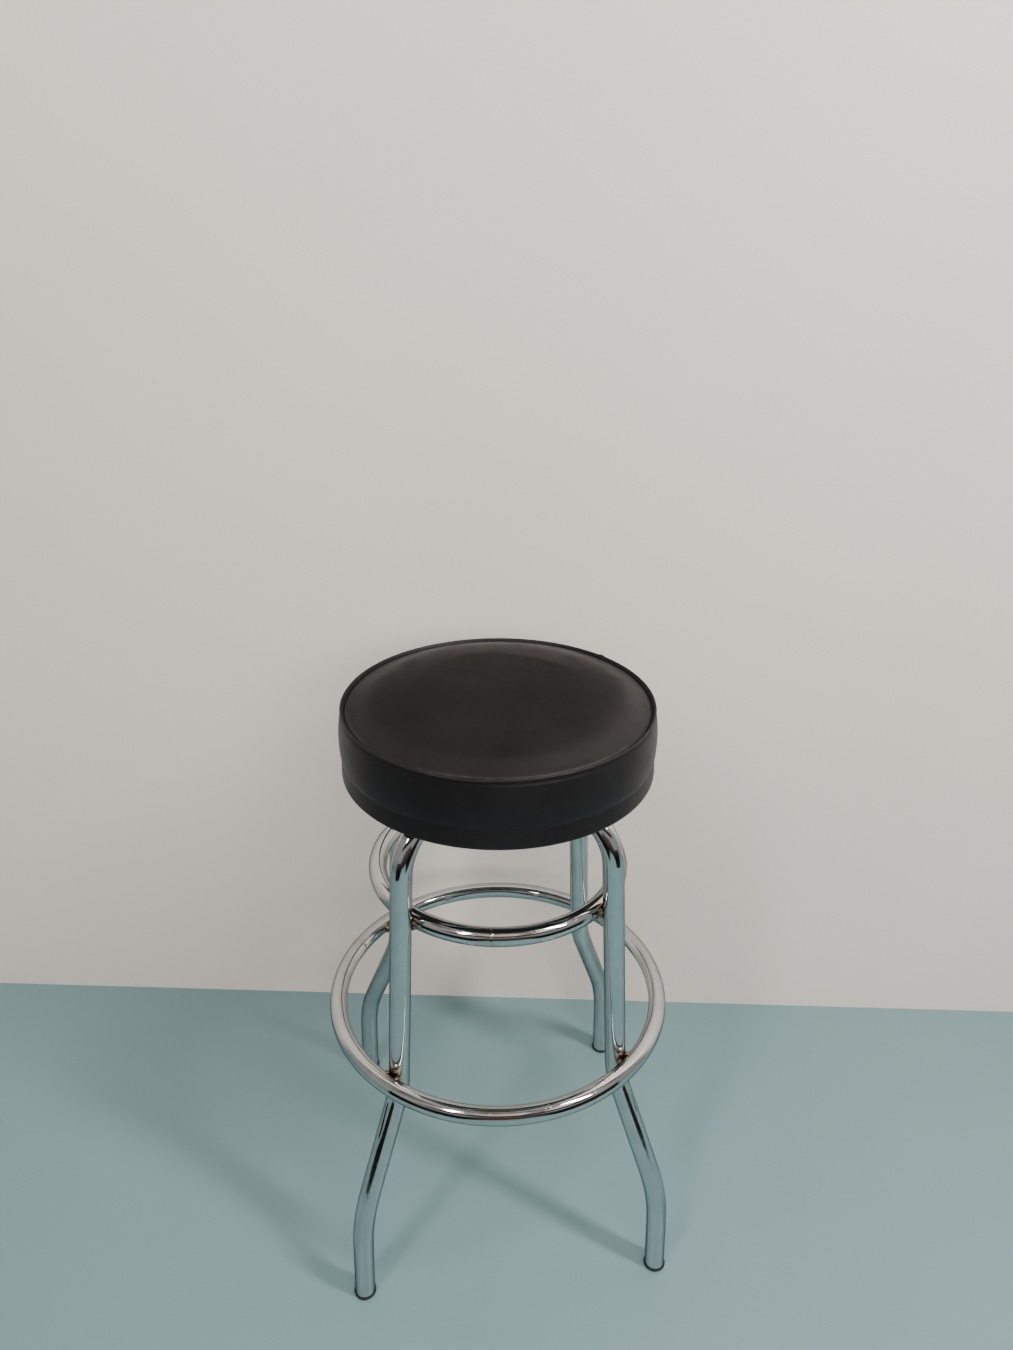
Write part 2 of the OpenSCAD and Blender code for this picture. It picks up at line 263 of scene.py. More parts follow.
def join(name, obs):
    """Joins meshes into one new object, and removes the old ones."""
    points, faces, at = [], [], 0
    for o in obs:
        co = points_of(o)
        m = np.array(o.matrix_world)
        points.append(co @ m[:3, :3].T + m[:3, 3])
        faces += [[v + at for v in p.vertices] for p in o.data.polygons]
        at += len(co)
        bpy.data.objects.remove(o)
    return new_mesh(name, np.concatenate(points), faces)


# ---------------------------------------------------------------- materials
class Nodes:
    """Short calls for a material's or a world's node tree."""

    def __init__(self, name, blocks=bpy.data.materials, shader="Principled BSDF"):
        self.block = blocks.new(name)
        self.block.use_nodes = True
        self.tree = self.block.node_tree
        self.shader = self.tree.nodes[shader]
        self.place = self.node("TexCoord").outputs["Object"]

    def node(self, kind, **values):
        """Adds a node and links or sets its inputs; _ stands for the space in their names."""
        n = self.tree.nodes.new("ShaderNode" + kind)
        for key, value in values.items():
            self.put(value, n.inputs[key.replace("_", " ")])
        return n

    def set(self, **values):
        for key, value in values.items():
            self.shader.inputs[key.replace("_", " ")].default_value = value

    def link(self, a, b):
        """Links a to b, which is a socket or the name of one of the shader's."""
        self.tree.links.new(a, self.shader.inputs[b] if isinstance(b, str) else b)

    def put(self, value, socket):
        if isinstance(value, bpy.types.NodeSocket):
            self.link(value, socket)
        else:
            socket.default_value = value

    def done(self, colour, rough, normal):
        """Links the shader's three main sockets and returns the material."""
        self.link(colour, "Base Color")
        self.link(rough, "Roughness")
        self.link(normal, "Normal")
        return self.block

    def show(self, surface):
        """Puts another shader on the surface and returns the material."""
        self.link(surface, self.tree.nodes["Material Output"].inputs["Surface"])
        return self.block

    def math(self, op, a, b, clamp=False):
        n = self.node("Math")
        n.operation, n.use_clamp = op, clamp
        self.put(a, n.inputs[0])
        self.put(b, n.inputs[1])
        return n.outputs[0]

    def plus(self, a, b, clamp=False):
        return self.math("ADD", a, b, clamp)

    def times(self, a, b):
        return self.math("MULTIPLY", a, b)

    def above(self, a, b):
        return self.math("GREATER_THAN", a, b)

    def scaled(self, scale, turn=(0, 0, 0)):
        return self.node("Mapping", Vector=self.place, Scale=scale, Rotation=turn).outputs[0]

    def axis(self, letter):
        return self.node("SeparateXYZ", Vector=self.place).outputs[letter]

    def attribute(self, name):
        n = self.node("Attribute")
        n.attribute_name = name
        return n.outputs["Fac"]

    def noise(self, scale, detail=3, rough=0.5, vector=None, warp=0.0):
        return self.node("TexNoise", Vector=vector or self.place, Scale=scale, Detail=detail,
                         Roughness=rough, Distortion=warp).outputs["Fac"]

    def cells(self, scale, feature="F1", vector=None, random=1.0):
        n = self.node("TexVoronoi", Vector=vector or self.place, Scale=scale, Randomness=random)
        n.feature = feature
        return n.outputs["Distance"]

    def ramp(self, value, *stops, steps=False):
        """A colour ramp of (position, colour) stops, blended or in steps."""
        n = self.node("ValToRGB", Fac=value)
        ramp = n.color_ramp
        ramp.interpolation = "CONSTANT" if steps else "LINEAR"
        while len(ramp.elements) < len(stops):
            ramp.elements.new(0.5)
        for element, (at, colour) in zip(ramp.elements, stops):
            element.position, element.color = at, colour + (1,)
        return n.outputs["Color"]

    def span(self, value, a, b, low=0.0, high=1.0):
        """Maps a to low and b to high, and stays between them."""
        return self.node("MapRange", Value=value, From_Min=a, From_Max=b, To_Min=low,
                         To_Max=high).outputs["Result"]

    def mix(self, factor, a, b, blend="MIX"):
        n = self.node("Mix")
        n.data_type, n.blend_type = "RGBA", blend
        self.put(factor, n.inputs["Factor"])
        self.put(a + (1,) if isinstance(a, tuple) else a, n.inputs["A"])
        self.put(b + (1,) if isinstance(b, tuple) else b, n.inputs["B"])
        return n.outputs["Result"]

    def bump(self, height, strength, distance, under=None):
        n = self.node("Bump", Height=height, Strength=strength, Distance=distance)
        if under is not None:
            self.link(under, n.inputs["Normal"])
        return n.outputs["Normal"]


def chrome_material():
    m = Nodes("chrome")
    tint = m.attribute("tint")
    wander = m.math("SUBTRACT", m.noise(190), 0.5)
    heat = m.plus(tint, m.times(wander, m.times(tint, 0.5)))
    colour = m.ramp(heat, (0.0, (0.62, 0.64, 0.652)), (0.30, (0.56, 0.525, 0.46)),
                    (0.55, (0.37, 0.305, 0.225)), (0.80, (0.19, 0.145, 0.105)), (1.0, (0.090, 0.066, 0.050)))
    haze = m.noise(38, 5, 0.62)
    film = m.ramp(haze, (0.42, (1, 1, 1)), (0.72, (0.90, 0.885, 0.865)))
    colour = m.mix(1.0, colour, film, "MULTIPLY")
    pits = m.math("LESS_THAN", m.cells(420), m.times(m.above(m.noise(46, 2), 0.57), 0.105))
    colour = m.mix(m.times(pits, 0.75), colour, (0.20, 0.13, 0.085))
    m.set(Metallic=1.0, IOR=2.2, Specular_Tint=(0.26, 0.27, 0.29, 1))
    scratch_a = m.noise(1.0, 2, 0.5, m.scaled((900, 70, 210), (0.5, 0.2, 0.8)))
    scratch_b = m.noise(1.0, 2, 0.5, m.scaled((90, 1100, 240), (0.1, 0.7, 0.3)))
    lines = m.plus(m.above(scratch_a, 0.69), m.above(scratch_b, 0.70))
    rough = m.plus(m.span(haze, 0.35, 0.75, 0.035, 0.11), m.times(lines, 0.10))
    rough = m.plus(rough, m.times(tint, 0.16), clamp=True)
    swell = m.bump(m.noise(62, 2), 0.06, 0.0006)
    fine = m.bump(m.noise(900, 3, 0.6), 0.035, 0.0003, swell)
    marks = m.plus(pits, m.times(lines, 0.35))
    return m.done(colour, m.plus(rough, m.times(pits, 0.35), clamp=True), m.bump(marks, 0.10, -0.0002, fine))


def weld_material():
    m = Nodes("chromed_weld")
    broad = m.noise(150, 4, 0.6)
    colour = m.ramp(broad, (0.30, (0.100, 0.064, 0.041)), (0.45, (0.24, 0.180, 0.130)),
                    (0.58, (0.42, 0.355, 0.275)), (0.74, (0.60, 0.56, 0.51)))
    soot = m.ramp(m.noise(520, 3, 0.7), (0.35, (0.45, 0.40, 0.36)), (0.6, (1, 1, 1)))
    m.set(Metallic=1.0)
    lumps = m.bump(m.noise(420, 3, 0.6), 0.55, 0.0007)
    return m.done(m.mix(0.8, colour, soot, "MULTIPLY"), m.span(broad, 0.3, 0.7, 0.34, 0.16),
                  m.bump(m.noise(1700, 2, 0.6), 0.25, 0.0003, lumps))


def vinyl_material():
    m = Nodes("black_vinyl")
    cloud = m.noise(9, 4, 0.55)
    colour = m.ramp(cloud, (0.3, (0.0072, 0.0060, 0.0068)), (0.7, (0.0115, 0.0097, 0.0105)))
    # lighter raised edges: partly rubbed wear, partly a painted highlight along the top's rolled rim, the
    # welt and the hem
    worn_and_highlit = m.times(m.attribute("tone_mask"), m.span(m.noise(120, 4, 0.65), 0.42, 0.68))
    colour = m.mix(m.times(worn_and_highlit, 0.35), colour, (0.055, 0.050, 0.049))
    # painted shade: the seam's groove and the stitch line are painted near black
    crease = m.attribute("crease")
    colour = m.mix(m.times(crease, 0.92), colour, (0.0012, 0.0011, 0.0012))
    dust = m.above(m.noise(640, 2), 0.735)
    colour = m.mix(m.times(dust, 0.10), colour, (0.20, 0.19, 0.18))
    m.set(Specular_IOR_Level=0.22, Coat_Weight=0.02, Coat_Roughness=0.34, Sheen_Weight=0.01,
          Sheen_Roughness=0.5)
    scuff = m.span(m.noise(34, 5, 0.65, m.scaled((1, 1, 2.2)), 0.8), 0.45, 0.75, 0.0, 0.09)
    rough = m.plus(m.span(cloud, 0.3, 0.7, 0.40, 0.48), m.times(crease, 0.45))
    edges = m.math("SUBTRACT", 1.0, m.span(m.cells(560, "DISTANCE_TO_EDGE"), 0.0, 0.22))
    skin = m.bump(m.cells(820, "SMOOTH_F1"), 0.16, 0.00018, m.bump(edges, 0.22, -0.00022))
    return m.done(colour, m.plus(rough, scuff, clamp=True), m.bump(m.noise(46), 0.14, 0.0009, skin))


def dust_cloth_material():
    m = Nodes("dust_cloth")
    fibres = m.plus(m.noise(1.0, 3, 0.7, m.scaled((2600, 420, 400), (0, 0, 0.5))),
                    m.noise(1.0, 3, 0.7, m.scaled((420, 2600, 400), (0, 0, 0.3))))
    bonds = m.cells(640, "F1", m.scaled((1, 1, 1), (0, 0, 0.6)), 0.15)
    cloud = m.noise(16, 5, 0.6)
    colour = m.ramp(cloud, (0.32, (0.024, 0.0190, 0.0182)), (0.68, (0.047, 0.0365, 0.0340)))
    colour = m.mix(m.span(fibres, 0.85, 1.3, 0.0, 0.30), colour, (0.062, 0.049, 0.045))
    m.set(Sheen_Weight=0.22, Sheen_Roughness=0.42, Specular_IOR_Level=0.38)
    weave = m.bump(fibres, 0.30, 0.00022)
    return m.done(colour, m.span(cloud, 0.3, 0.7, 0.66, 0.80),
                  m.bump(m.span(bonds, 0.0, 0.35), 0.22, 0.00022, weave))


def rubber_material():
    m = Nodes("black_rubber")
    cloud = m.noise(95, 4, 0.6)
    grit = m.noise(900, 3, 0.7)
    colour = m.ramp(cloud, (0.3, (0.013, 0.0125, 0.012)), (0.75, (0.030, 0.028, 0.026)))
    dusty = m.times(m.attribute("tone_mask"), m.span(grit, 0.4, 0.7, 0.1, 0.9))
    m.set(Specular_IOR_Level=0.36)
    return m.done(m.mix(m.times(dusty, 0.4), colour, (0.105, 0.098, 0.090)),
                  m.span(cloud, 0.3, 0.7, 0.58, 0.80), m.bump(grit, 0.38, 0.0003))


def screw_material():
    m = Nodes("zinc_screw")
    haze = m.noise(600, 4, 0.6)
    # darker inside the cross recess and round the foot of the head
    recess_tone = m.ramp(m.attribute("tone_mask"), (0.0, (0.60, 0.60, 0.595)), (1.0, (0.13, 0.115, 0.10)))
    m.set(Metallic=1.0)
    return m.done(m.mix(m.span(haze, 0.45, 0.75, 0.0, 0.6), recess_tone, (0.42, 0.39, 0.33)),
                  m.span(haze, 0.3, 0.7, 0.16, 0.34), m.bump(m.noise(2400, 3, 0.6), 0.16, 0.00015))


def staple_material():
    m = Nodes("staple_wire")
    haze = m.noise(480, 4, 0.6)
    m.set(Metallic=1.0)
    return m.done(m.ramp(haze, (0.3, (0.17, 0.160, 0.15)), (0.7, (0.32, 0.310, 0.30))),
                  m.span(haze, 0.3, 0.7, 0.30, 0.48), m.bump(m.noise(3000, 2, 0.6), 0.2, 0.0001))


def plywood_material():
    m = Nodes("plywood")
    ply = m.node("TexWave", Vector=m.place, Scale=72, Distortion=0.6)
    ply.bands_direction = "Z"
    grain = m.noise(1.0, 5, 0.6, m.scaled((22, 260, 60)), 1.2)
    colour = m.ramp(grain, (0.32, (0.30, 0.185, 0.088)), (0.52, (0.46, 0.315, 0.170)),
                    (0.72, (0.58, 0.43, 0.25)))
    return m.done(m.mix(m.times(ply.outputs["Fac"], 0.35), colour, (0.24, 0.14, 0.065)),
                  m.span(grain, 0.3, 0.7, 0.62, 0.8), m.bump(grain, 0.3, 0.0005))


def foam_material():
    m = Nodes("cut_foam")
    pores = m.cells(900)
    cloud = m.noise(24, 4, 0.6)
    colour = m.ramp(cloud, (0.3, (0.52, 0.43, 0.22)), (0.7, (0.66, 0.58, 0.34)))
    m.set(Sheen_Weight=0.15, Sheen_Roughness=0.6)
    return m.done(m.mix(m.span(pores, 0.1, 0.5, 0.35, 0.0), colour, (0.30, 0.24, 0.12)),
                  m.span(cloud, 0.3, 0.7, 0.85, 0.97), m.bump(pores, 0.5, 0.0004))


CHROME = chrome_material()
WELD = weld_material()
VINYL_BLACK = vinyl_material()
DUST_CLOTH = dust_cloth_material()
RUBBER = rubber_material()
SCREW = screw_material()
STAPLE = staple_material()
PLYWOOD = plywood_material()
FOAM = foam_material()


# ---------------------------------------------------------------- leg tubes
def leg_rho(z):
    return WAIST_RHO + (BRACE_Z - z) * tan(LEAN)


def arm_path():
    """One arm's centre line in its own plane, from the axis to the foot, with its bends' ends.
    Returns points (rho, z), distances along it, and (start, end) distances of the three bends."""
    ankle_rho = FOOT_RHO - (ANKLE_Z - CAP_TOP) * tan(FOOT_LEAN)
    corners = [np.array(c) for c in [(0, BAR_Z), (leg_rho(BAR_Z), BAR_Z), (leg_rho(KNEE_Z), KNEE_Z),
                                     (ankle_rho, ANKLE_Z), (FOOT_RHO, CAP_TOP)]]
    dense, medium, coarse = 0.0009, 0.0016, 0.006
    points, along, bends, length = [corners[0]], [0.0], [], 0.0

    def go_to(target, step):
        nonlocal length
        start = points[-1]
        span = np.linalg.norm(target - start)
        count = max(1, round(span / step))
        for k in range(1, count + 1):
            share = k / count
            points.append(start + (target - start) * share)
            along.append(length + span * share)
        length += span

    for i, radius in enumerate(BEND_RADII, 1):
        into = corners[i] - corners[i - 1]
        out = corners[i + 1] - corners[i]
        into, out = into / np.linalg.norm(into), out / np.linalg.norm(out)
        turn = acos(float(np.clip(into @ out, -1, 1)))
        tangent = radius * tan(turn / 2)
        start = corners[i] - into * tangent
        if i == 1:
            go_to(start, dense)
        else:
            near = min(0.03, 0.4 * np.linalg.norm(start - points[-1]))
            for target, step in ((points[-1] + into * near, medium), (start - into * near, coarse),
                                 (start, medium)):
                go_to(target, step)
        side = np.array([-into[1], into[0]])
        side = side if side @ out > 0 else -side
        centre = start + side * radius
        steps = max(8, round(radius * turn / (dense if i == 1 else medium)))
        bends.append((length, length + radius * turn))
        for k in range(1, steps + 1):
            a = turn * k / steps
            points.append(centre - side * radius * cos(a) + into * radius * sin(a))
            along.append(length + radius * a)
        length += radius * turn
    go_to(points[-1] + out * 0.03, medium)
    go_to(corners[-1], coarse)
    return np.array(points), np.array(along), bends


ARM, ARM_ALONG, BENDS = arm_path()
TUBE_SIDES = 88


def tube_sections(along, phi, upper):
    """How far each point of the tube's wall is from the centre line: up or outward, and sideways.
    along is the distance from the axis along the centre line, and phi is the angle around it."""
    u = np.abs(along)[:, None]
    c, s = np.cos(phi)[None, :], np.sin(phi)[None, :]
    if upper:
        width = [(0, LAP_HALF_W), (0.017, LAP_HALF_W), (0.029, 0.0150), (0.046, 0.0119), (0.060, 0.0106),
                 (0.076, 0.0109)]
        depth = LEG_R
    else:
        width = [(0, LAP_HALF_W), (0.010, 0.0152), (0.026, 0.0132), (0.040, 0.0110), (0.052, 0.0103),
                 (0.074, 0.0108)]
        depth = curve(u, [(0, 0.0140), (0.012, 0.0139), (0.034, 0.0129), (0.06, LEG_R), (0.2, LEG_R)])
    width = curve(u, width + [(0.092, 0.0121), (0.106, 0.0122), (0.125, LEG_R), (0.2, LEG_R)])
    up = np.where(c > 0, LEG_R * c, depth * c)
    side = width * s + 0 * up
    # pressed flat where the other tube crosses
    if upper:
        flat = curve(u, [(0, 0.00005), (0.0285, 0.00005), (0.0300, -0.0016), (0.052, -0.0098),
                         (0.066, -0.0150), (0.2, -0.02)])
        up = soft_max(up, flat, 0.0020)
        seam = bell(side, 0, 0.0012) * smooth(u, 0.030, 0.034) * (1 - smooth(u, 0.050, 0.075))
        up = up + np.where(c < 0, seam * 0.0007, 0)
    else:
        flat = curve(u, [(0, -0.00005), (0.018, -0.00005), (0.030, 0.0052), (0.046, 0.0136), (0.07, 0.02)])
        up = soft_min(up, flat, 0.0030)
    # the pressed oval under each screw head
    away = np.sqrt(((u - SCREW_RHO) / 0.0115) ** 2 + (side / 0.0092) ** 2)
    floor = -LEG_R + DIMPLE_DEPTH
    press = 1 - smooth(away, 0.74, 1.06)
    under = c < 0
    up = np.where(under, up + (np.maximum(up, floor) - up) * press, up)
    lip = bell(away, 1.16, 0.10) * np.clip(-c, 0, 1)
    up = up - 0.00035 * lip
    # long folds on the hollow side of each bend, blunt at one end and pointed at the other
    folds = [(BENDS[0][0] - 0.006, BENDS[0][0] + 0.037, 0.0058, 0.0042, -1, 0.0030),
             (BENDS[1][1] - 0.012, BENDS[1][1] + 0.050, 0.0040, 0.0007, 1, 0.0024)]
    for start, stop, half, deep, facing, blunt in folds:
        t = np.clip((u - start) / (stop - start), 0, 1)
        inside = smooth(u, start, start + blunt) * (1 - smooth(u, stop - (stop - start) * 0.30, stop))
        shape = half * np.sqrt(np.clip(np.minimum(t / 0.10, 1), 0.02, 1)) * (1 - 0.62 * t)
        gap = 1 - smooth(np.abs(side) / shape, 0.35, 1.0)
        facing_side = c * facing > 0
        up = up + np.where(facing_side, -facing * deep * inside * gap, 0)
        if facing < 0:
            ridge = bell(side, 0.0008 * np.sin(u * 160), 0.0011)
            up = up + np.where(facing_side, facing * 0.0011 * inside * gap * ridge, 0)
            past_end = smooth(u, stop - 0.010, stop) * (1 - smooth(u, stop + 0.004, stop + 0.020))
            up = up + np.where(facing_side, 0.0007 * bell(side, 0, 0.0011) * past_end, 0)
    # bends are a little flattened on the stretched side, with a faint step where the die ended
    for k, (start, stop) in enumerate(BENDS):
        facing = (1, -1, 1)[k]
        ease = 0.012 if k == 0 else 0.002
        mask = smooth(u, start - ease, start + ease) * (1 - smooth(u, stop - ease, stop + ease))
        limit = LEG_R - (0.0005 if k == 0 else 0.0009)
        near_face = np.clip(up * facing - limit, 0, None)
        up = up - facing * near_face * 0.85 * mask
        side = side * (1 + 0.018 * mask)
    return up, side


def leg_tube(name, azimuth, upper):
    x = np.concatenate([-ARM[:0:-1, 0], ARM[:, 0]])
    z = np.concatenate([ARM[:0:-1, 1], ARM[:, 1]])
    along = np.concatenate([-ARM_ALONG[:0:-1], ARM_ALONG])
    line = np.stack([x, z], 1)
    tangent = np.gradient(line, axis=0)
    tangent /= np.linalg.norm(tangent, axis=1)[:, None]
    outward = np.stack([-tangent[:, 1], tangent[:, 0]], 1)
    phi = circle(TUBE_SIDES)
    up, side = tube_sections(along, phi, upper)
    # a very slight unevenness, which polished metal shows in its reflections
    ripple = waves(11 if upper else 12, 5, 1, 4)
    long_ripple = waves(13 if upper else 14, 6, 3, 17)
    swell = 0.00006 * ripple(phi)[None, :] * long_ripple(along * 9)[:, None]
    up, side = up * (1 + swell / LEG_R), side * (1 + swell / LEG_R)
    rho = x[:, None] + outward[:, :1] * up
    height = z[:, None] + outward[:, 1:] * up
    # the ends are cut level, though the feet lean outward
    for end in (0, -1):
        slip = (CAP_TOP - height[end]) / tangent[end, 1]
        rho[end] += slip * tangent[end, 0]
        height[end] = CAP_TOP
    rings = np.stack([rho, side, height], -1)
    # the tube's end faces and the first stretch of its inside
    share = (LEG_R - WALL) / LEG_R
    first, last = (np.stack([x[end] + (rings[end, :, 0] - x[end]) * share, rings[end, :, 1] * share,
                             rings[end, :, 2]], -1) for end in (0, -1))
    deep = np.array([0.012 * tan(FOOT_LEAN), 0, 0.012])
    rings = np.concatenate([[first + deep, first], rings, [last, last + deep * (-1, 1, 1)]])
    count = len(rings)
    points = rings.reshape(-1, 3)
    faces = grid_faces(count, TUBE_SIDES, flip=True)
    faces.append(list(range(TUBE_SIDES)))
    faces.append([(count - 1) * TUBE_SIDES + k for k in range(TUBE_SIDES)][::-1])
    turn = np.array(Matrix.Rotation(azimuth, 3, "Z"))
    ob = new_mesh(name, points @ turn.T, faces)
    sharp_by_angle(ob, 50)
    return ob


# where the legs touch the rings, as points on the rings' surfaces, and where each ring is closed
JOINTS = [spot(BRACE_RHO + RING_R, a, BRACE_Z) for a in LEG_AZIMUTHS]
JOINTS += [spot(REST_RHO - RING_R, a, REST_Z) for a in LEG_AZIMUTHS]
BRACE_SEAM, REST_SEAM = radians(262), radians(152)
SEAMS = [spot(BRACE_RHO, BRACE_SEAM, BRACE_Z), spot(REST_RHO, REST_SEAM, REST_Z)]


def heat_tint(ob, crossing=0.0):
    """Straw to brown colour around each weld, as a value from 0 to 1 on the mesh's points."""
    co = points_of(ob)
    value = np.zeros(len(co))
    for joint in JOINTS:
        d = np.linalg.norm(co - np.array(joint), axis=1)
        value = np.maximum(value, 0.60 * np.exp(-(np.clip(d - 0.006, 0, None) / 0.0075) ** 1.6))
    for seam in SEAMS:
        d = np.linalg.norm(co - np.array(seam), axis=1)
        value = np.maximum(value, 0.14 * bell(np.clip(d - 0.0115, 0, None), 0, 0.004))
    if crossing:
        d = np.linalg.norm(co - np.array([0, 0, BAR_Z - 0.004]), axis=1)
        value = np.maximum(value, crossing * bell(np.clip(d - 0.015, 0, None), 0, 0.020))
    add_float(ob, "tint", value)


for place, azimuth, is_upper, heat in (("lower", 45, False, 0.30), ("upper", 135, True, 0.46)):
    tube = leg_tube("leg_tube_" + place, radians(azimuth), is_upper)
    heat_tint(tube, heat)
    finish_piece(tube, CHROME, place + "_leg_tube")


# ---------------------------------------------------------------- rings
def torus(name, rho, z, r, cols, sides, seed, flip=False):
    a = circle(cols)
    b = circle(sides)
    wobble = 0.00012 * waves(seed, 6, 2, 9)(a) + 0.00003 * waves(seed + 1, 6, 14, 40)(a)
    radius = rho + wobble[:, None] + r * np.cos(b)[None, :]
    height = z + r * np.sin(b)[None, :] + 0 * radius
    points = polar(radius, a[:, None], height).reshape(-1, 3)
    return new_mesh(name, points, grid_faces(cols, sides, wrap_rows=True, flip=not flip))


def ring_piece(name, rho, z, cols, seed, node):
    outer = torus(name + "_outer", rho, z, RING_R, cols, 72, seed)
    inner = torus(name + "_inner", rho, z, RING_R - WALL, cols // 3, 24, seed, flip=True)
    ring = join(name, [outer, inner])
    hole = 0.0035
    cutters = []
    for k in range(4):
        cutter = lathe("vent_cutter", [(0, -RING_R - 0.002), (hole + 0.0014, -RING_R - 0.002),
                                       (hole + 0.0008, -RING_R), (hole + 0.0002, -RING_R + 0.0005),
                                       (hole, -RING_R + 0.0009), (hole, 0), (0, 0)], 40)
        cutter.matrix_world = Matrix.Translation(spot(rho, k * pi / 2, z))
        cutters.append(cutter)
    bpy.context.view_layer.update()
    cut_away(ring, join("vent_cutters", cutters))
    shade_smooth(ring.data)
    sharp_by_angle(ring, 28)
    heat_tint(ring)
    finish_piece(ring, CHROME, node)


ring_piece("brace_ring_tube", BRACE_RHO, BRACE_Z, 540, 21, "brace_ring")
ring_piece("footrest_ring_tube", REST_RHO, REST_Z, 720, 31, "footrest_ring")


# ---------------------------------------------------------------- welds
UP = Vector((0, 0, 1))


def bead(centre, axes, radii, ripples, seed, cols=56, rows=40):
    """A lump of weld metal: an ellipsoid with the stacked ripples of the weld pool along axes[2]."""
    t = (np.arange(1, rows) / rows * pi)[:, None]
    p = circle(cols)[None, :]
    unit = np.stack([np.sin(t) * np.cos(p), np.sin(t) * np.sin(p), np.cos(t) + 0 * p], -1).reshape(-1, 3)
    unit = np.concatenate([unit, [[0, 0, 1], [0, 0, -1]]])
    lumps = noise_at(unit, 1.6, seed * 7.3) * 0.22 + noise_at(unit, 4.2, seed * 3.1) * 0.09
    rings = np.abs(np.sin(unit[:, 2] * ripples + lumps * 2)) ** 0.6 * 0.07
    scale = (1 + lumps + rings - 0.05)[:, None]
    local = unit * np.array(radii) * scale
    points = np.array(centre) + local @ np.array([list(a) for a in axes])
    n = (rows - 1) * cols
    faces = grid_faces(rows - 1, cols)
    faces += [(n, (k + 1) % cols, k) for k in range(cols)]
    faces += [(n + 1, (rows - 2) * cols + k, (rows - 2) * cols + (k + 1) % cols) for k in range(cols)]
    return new_mesh("bead", points, faces)


def joint_beads(name, joints, node, seed):
    beads = []
    for i, (joint, azimuth) in enumerate(zip(joints, LEG_AZIMUTHS)):
        out = Vector((cos(azimuth), sin(azimuth), 0))
        sideways = Vector((-sin(azimuth), cos(azimuth), 0))
        for k, side in enumerate((-1, 1)):
            centre = joint + sideways * (0.0081 * side)
            beads.append(bead(centre, (out, sideways, UP), (0.0044, 0.0040, 0.0062), 11, seed + 2 * i + k))
    finish_piece(join(name, beads), WELD, node)


joint_beads("brace_ring_welds", JOINTS[:4], "brace_ring_weld_beads", 40)
joint_beads("footrest_ring_welds", JOINTS[4:], "footrest_weld_beads", 60)

cross = []
a = radians(45)
along_tube, sideways = Vector((cos(a), sin(a), 0)), Vector((-sin(a), cos(a), 0))
for k, side in enumerate((-1, 1)):
    centre = Vector((0, 0, BAR_Z - 0.0014)) + sideways * (LAP_HALF_W + 0.0004) * side
    cross.append(bead(centre, (sideways, UP, along_tube), (0.0026, 0.0024, 0.0125), 24, 80 + k, 48, 72))
finish_piece(join("crossing_welds", cross), WELD, "cross_weld_beads")


def seam_ridge(name, rho, z, azimuth, seed, node):
    """The thin raised band of the butt weld that closes a ring."""
    cols, rows, half = 96, 13, 0.0016
    b = circle(cols)
    uneven = waves(seed, 7, 2, 15)
    wide = half * (1 + 0.25 * waves(seed + 1, 7, 3, 22)(b))

    def section(turn, r):
        return polar(rho + r * np.cos(b), azimuth + turn, z + r * np.sin(b))

    rings = []
    for w in np.linspace(-1, 1, rows):
        high = 0.00038 * (1 - w * w) * (1 + 0.5 * uneven(b + w)) - 0.00010
        rings.append(section(w * wide / rho, RING_R + high))
    rings += [section(w * half * 0.9 / rho, RING_R - 0.0006) for w in (1, -1)]
    ob = new_mesh(name, np.concatenate(rings), grid_faces(len(rings), cols, wrap_rows=True))
    add_float(ob, "tint", np.full(len(ob.data.vertices), 0.24))
    finish_piece(ob, CHROME, node)


seam_ridge("brace_ring_seam", BRACE_RHO, BRACE_Z, BRACE_SEAM, 90, "brace_ring_seam_weld")
seam_ridge("footrest_ring_seam", REST_RHO, REST_Z, REST_SEAM, 95, "footrest_ring_seam_weld")


# ---------------------------------------------------------------- foot caps
def foot_cap(name, node):
    lo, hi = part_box(node)
    centre = ((lo.x + hi.x) / 2, (lo.y + hi.y) / 2)
    edge = 0.0024
    plug = LEG_R - WALL - 0.0002
    profile = [(0, 0.0007), (0.0012, 0.0007), (0.0016, 0.00045), (0.0030, 0.0004), (0.0085, 0.00035),
               (0.0098, 0.0001), (0.0104, 0.0)]
    profile += [(CAP_R - edge + edge * sin(radians(a)), edge - edge * cos(radians(a)))
                for a in range(10, 91, 10)]
    profile += [(CAP_R, CAP_TOP - 0.0006), (CAP_R - 0.0002, CAP_TOP - 0.0002), (CAP_R - 0.0006, CAP_TOP),
                (LEG_R + 0.0003, CAP_TOP), (LEG_R + 0.0002, CAP_TOP - 0.0003), (plug, CAP_TOP - 0.0003)]
    for rib in range(3):
        z = CAP_TOP + 0.004 + 0.0045 * rib
        profile += [(plug - 0.0009, z - 0.0012), (plug, z), (plug, z + 0.0012), (plug - 0.0009, z + 0.0018)]
    profile += [(plug - 0.0012, hi.z), (plug - 0.0032, hi.z), (plug - 0.0032, CAP_TOP + 0.001),
                (0, CAP_TOP + 0.001)]
    ob = lathe(name, profile[::-1], 72)
    co = points_of(ob)
    outward = np.array(centre) / FOOT_RHO
    lean = np.clip(co[:, 2] - CAP_TOP, 0, None) * tan(FOOT_LEAN)
    co[:, :2] += np.array(centre) - lean[:, None] * outward
    set_points(ob, co)
    add_float(ob, "tone_mask", np.clip(1 - co[:, 2] / 0.003, 0, 1))
    sharp_by_angle(ob, 45)
    finish_piece(ob, RUBBER, node)


for corner in ("front_left", "front_right", "rear_left", "rear_right"):
    foot_cap("cap_" + corner, "foot_cap_" + corner)


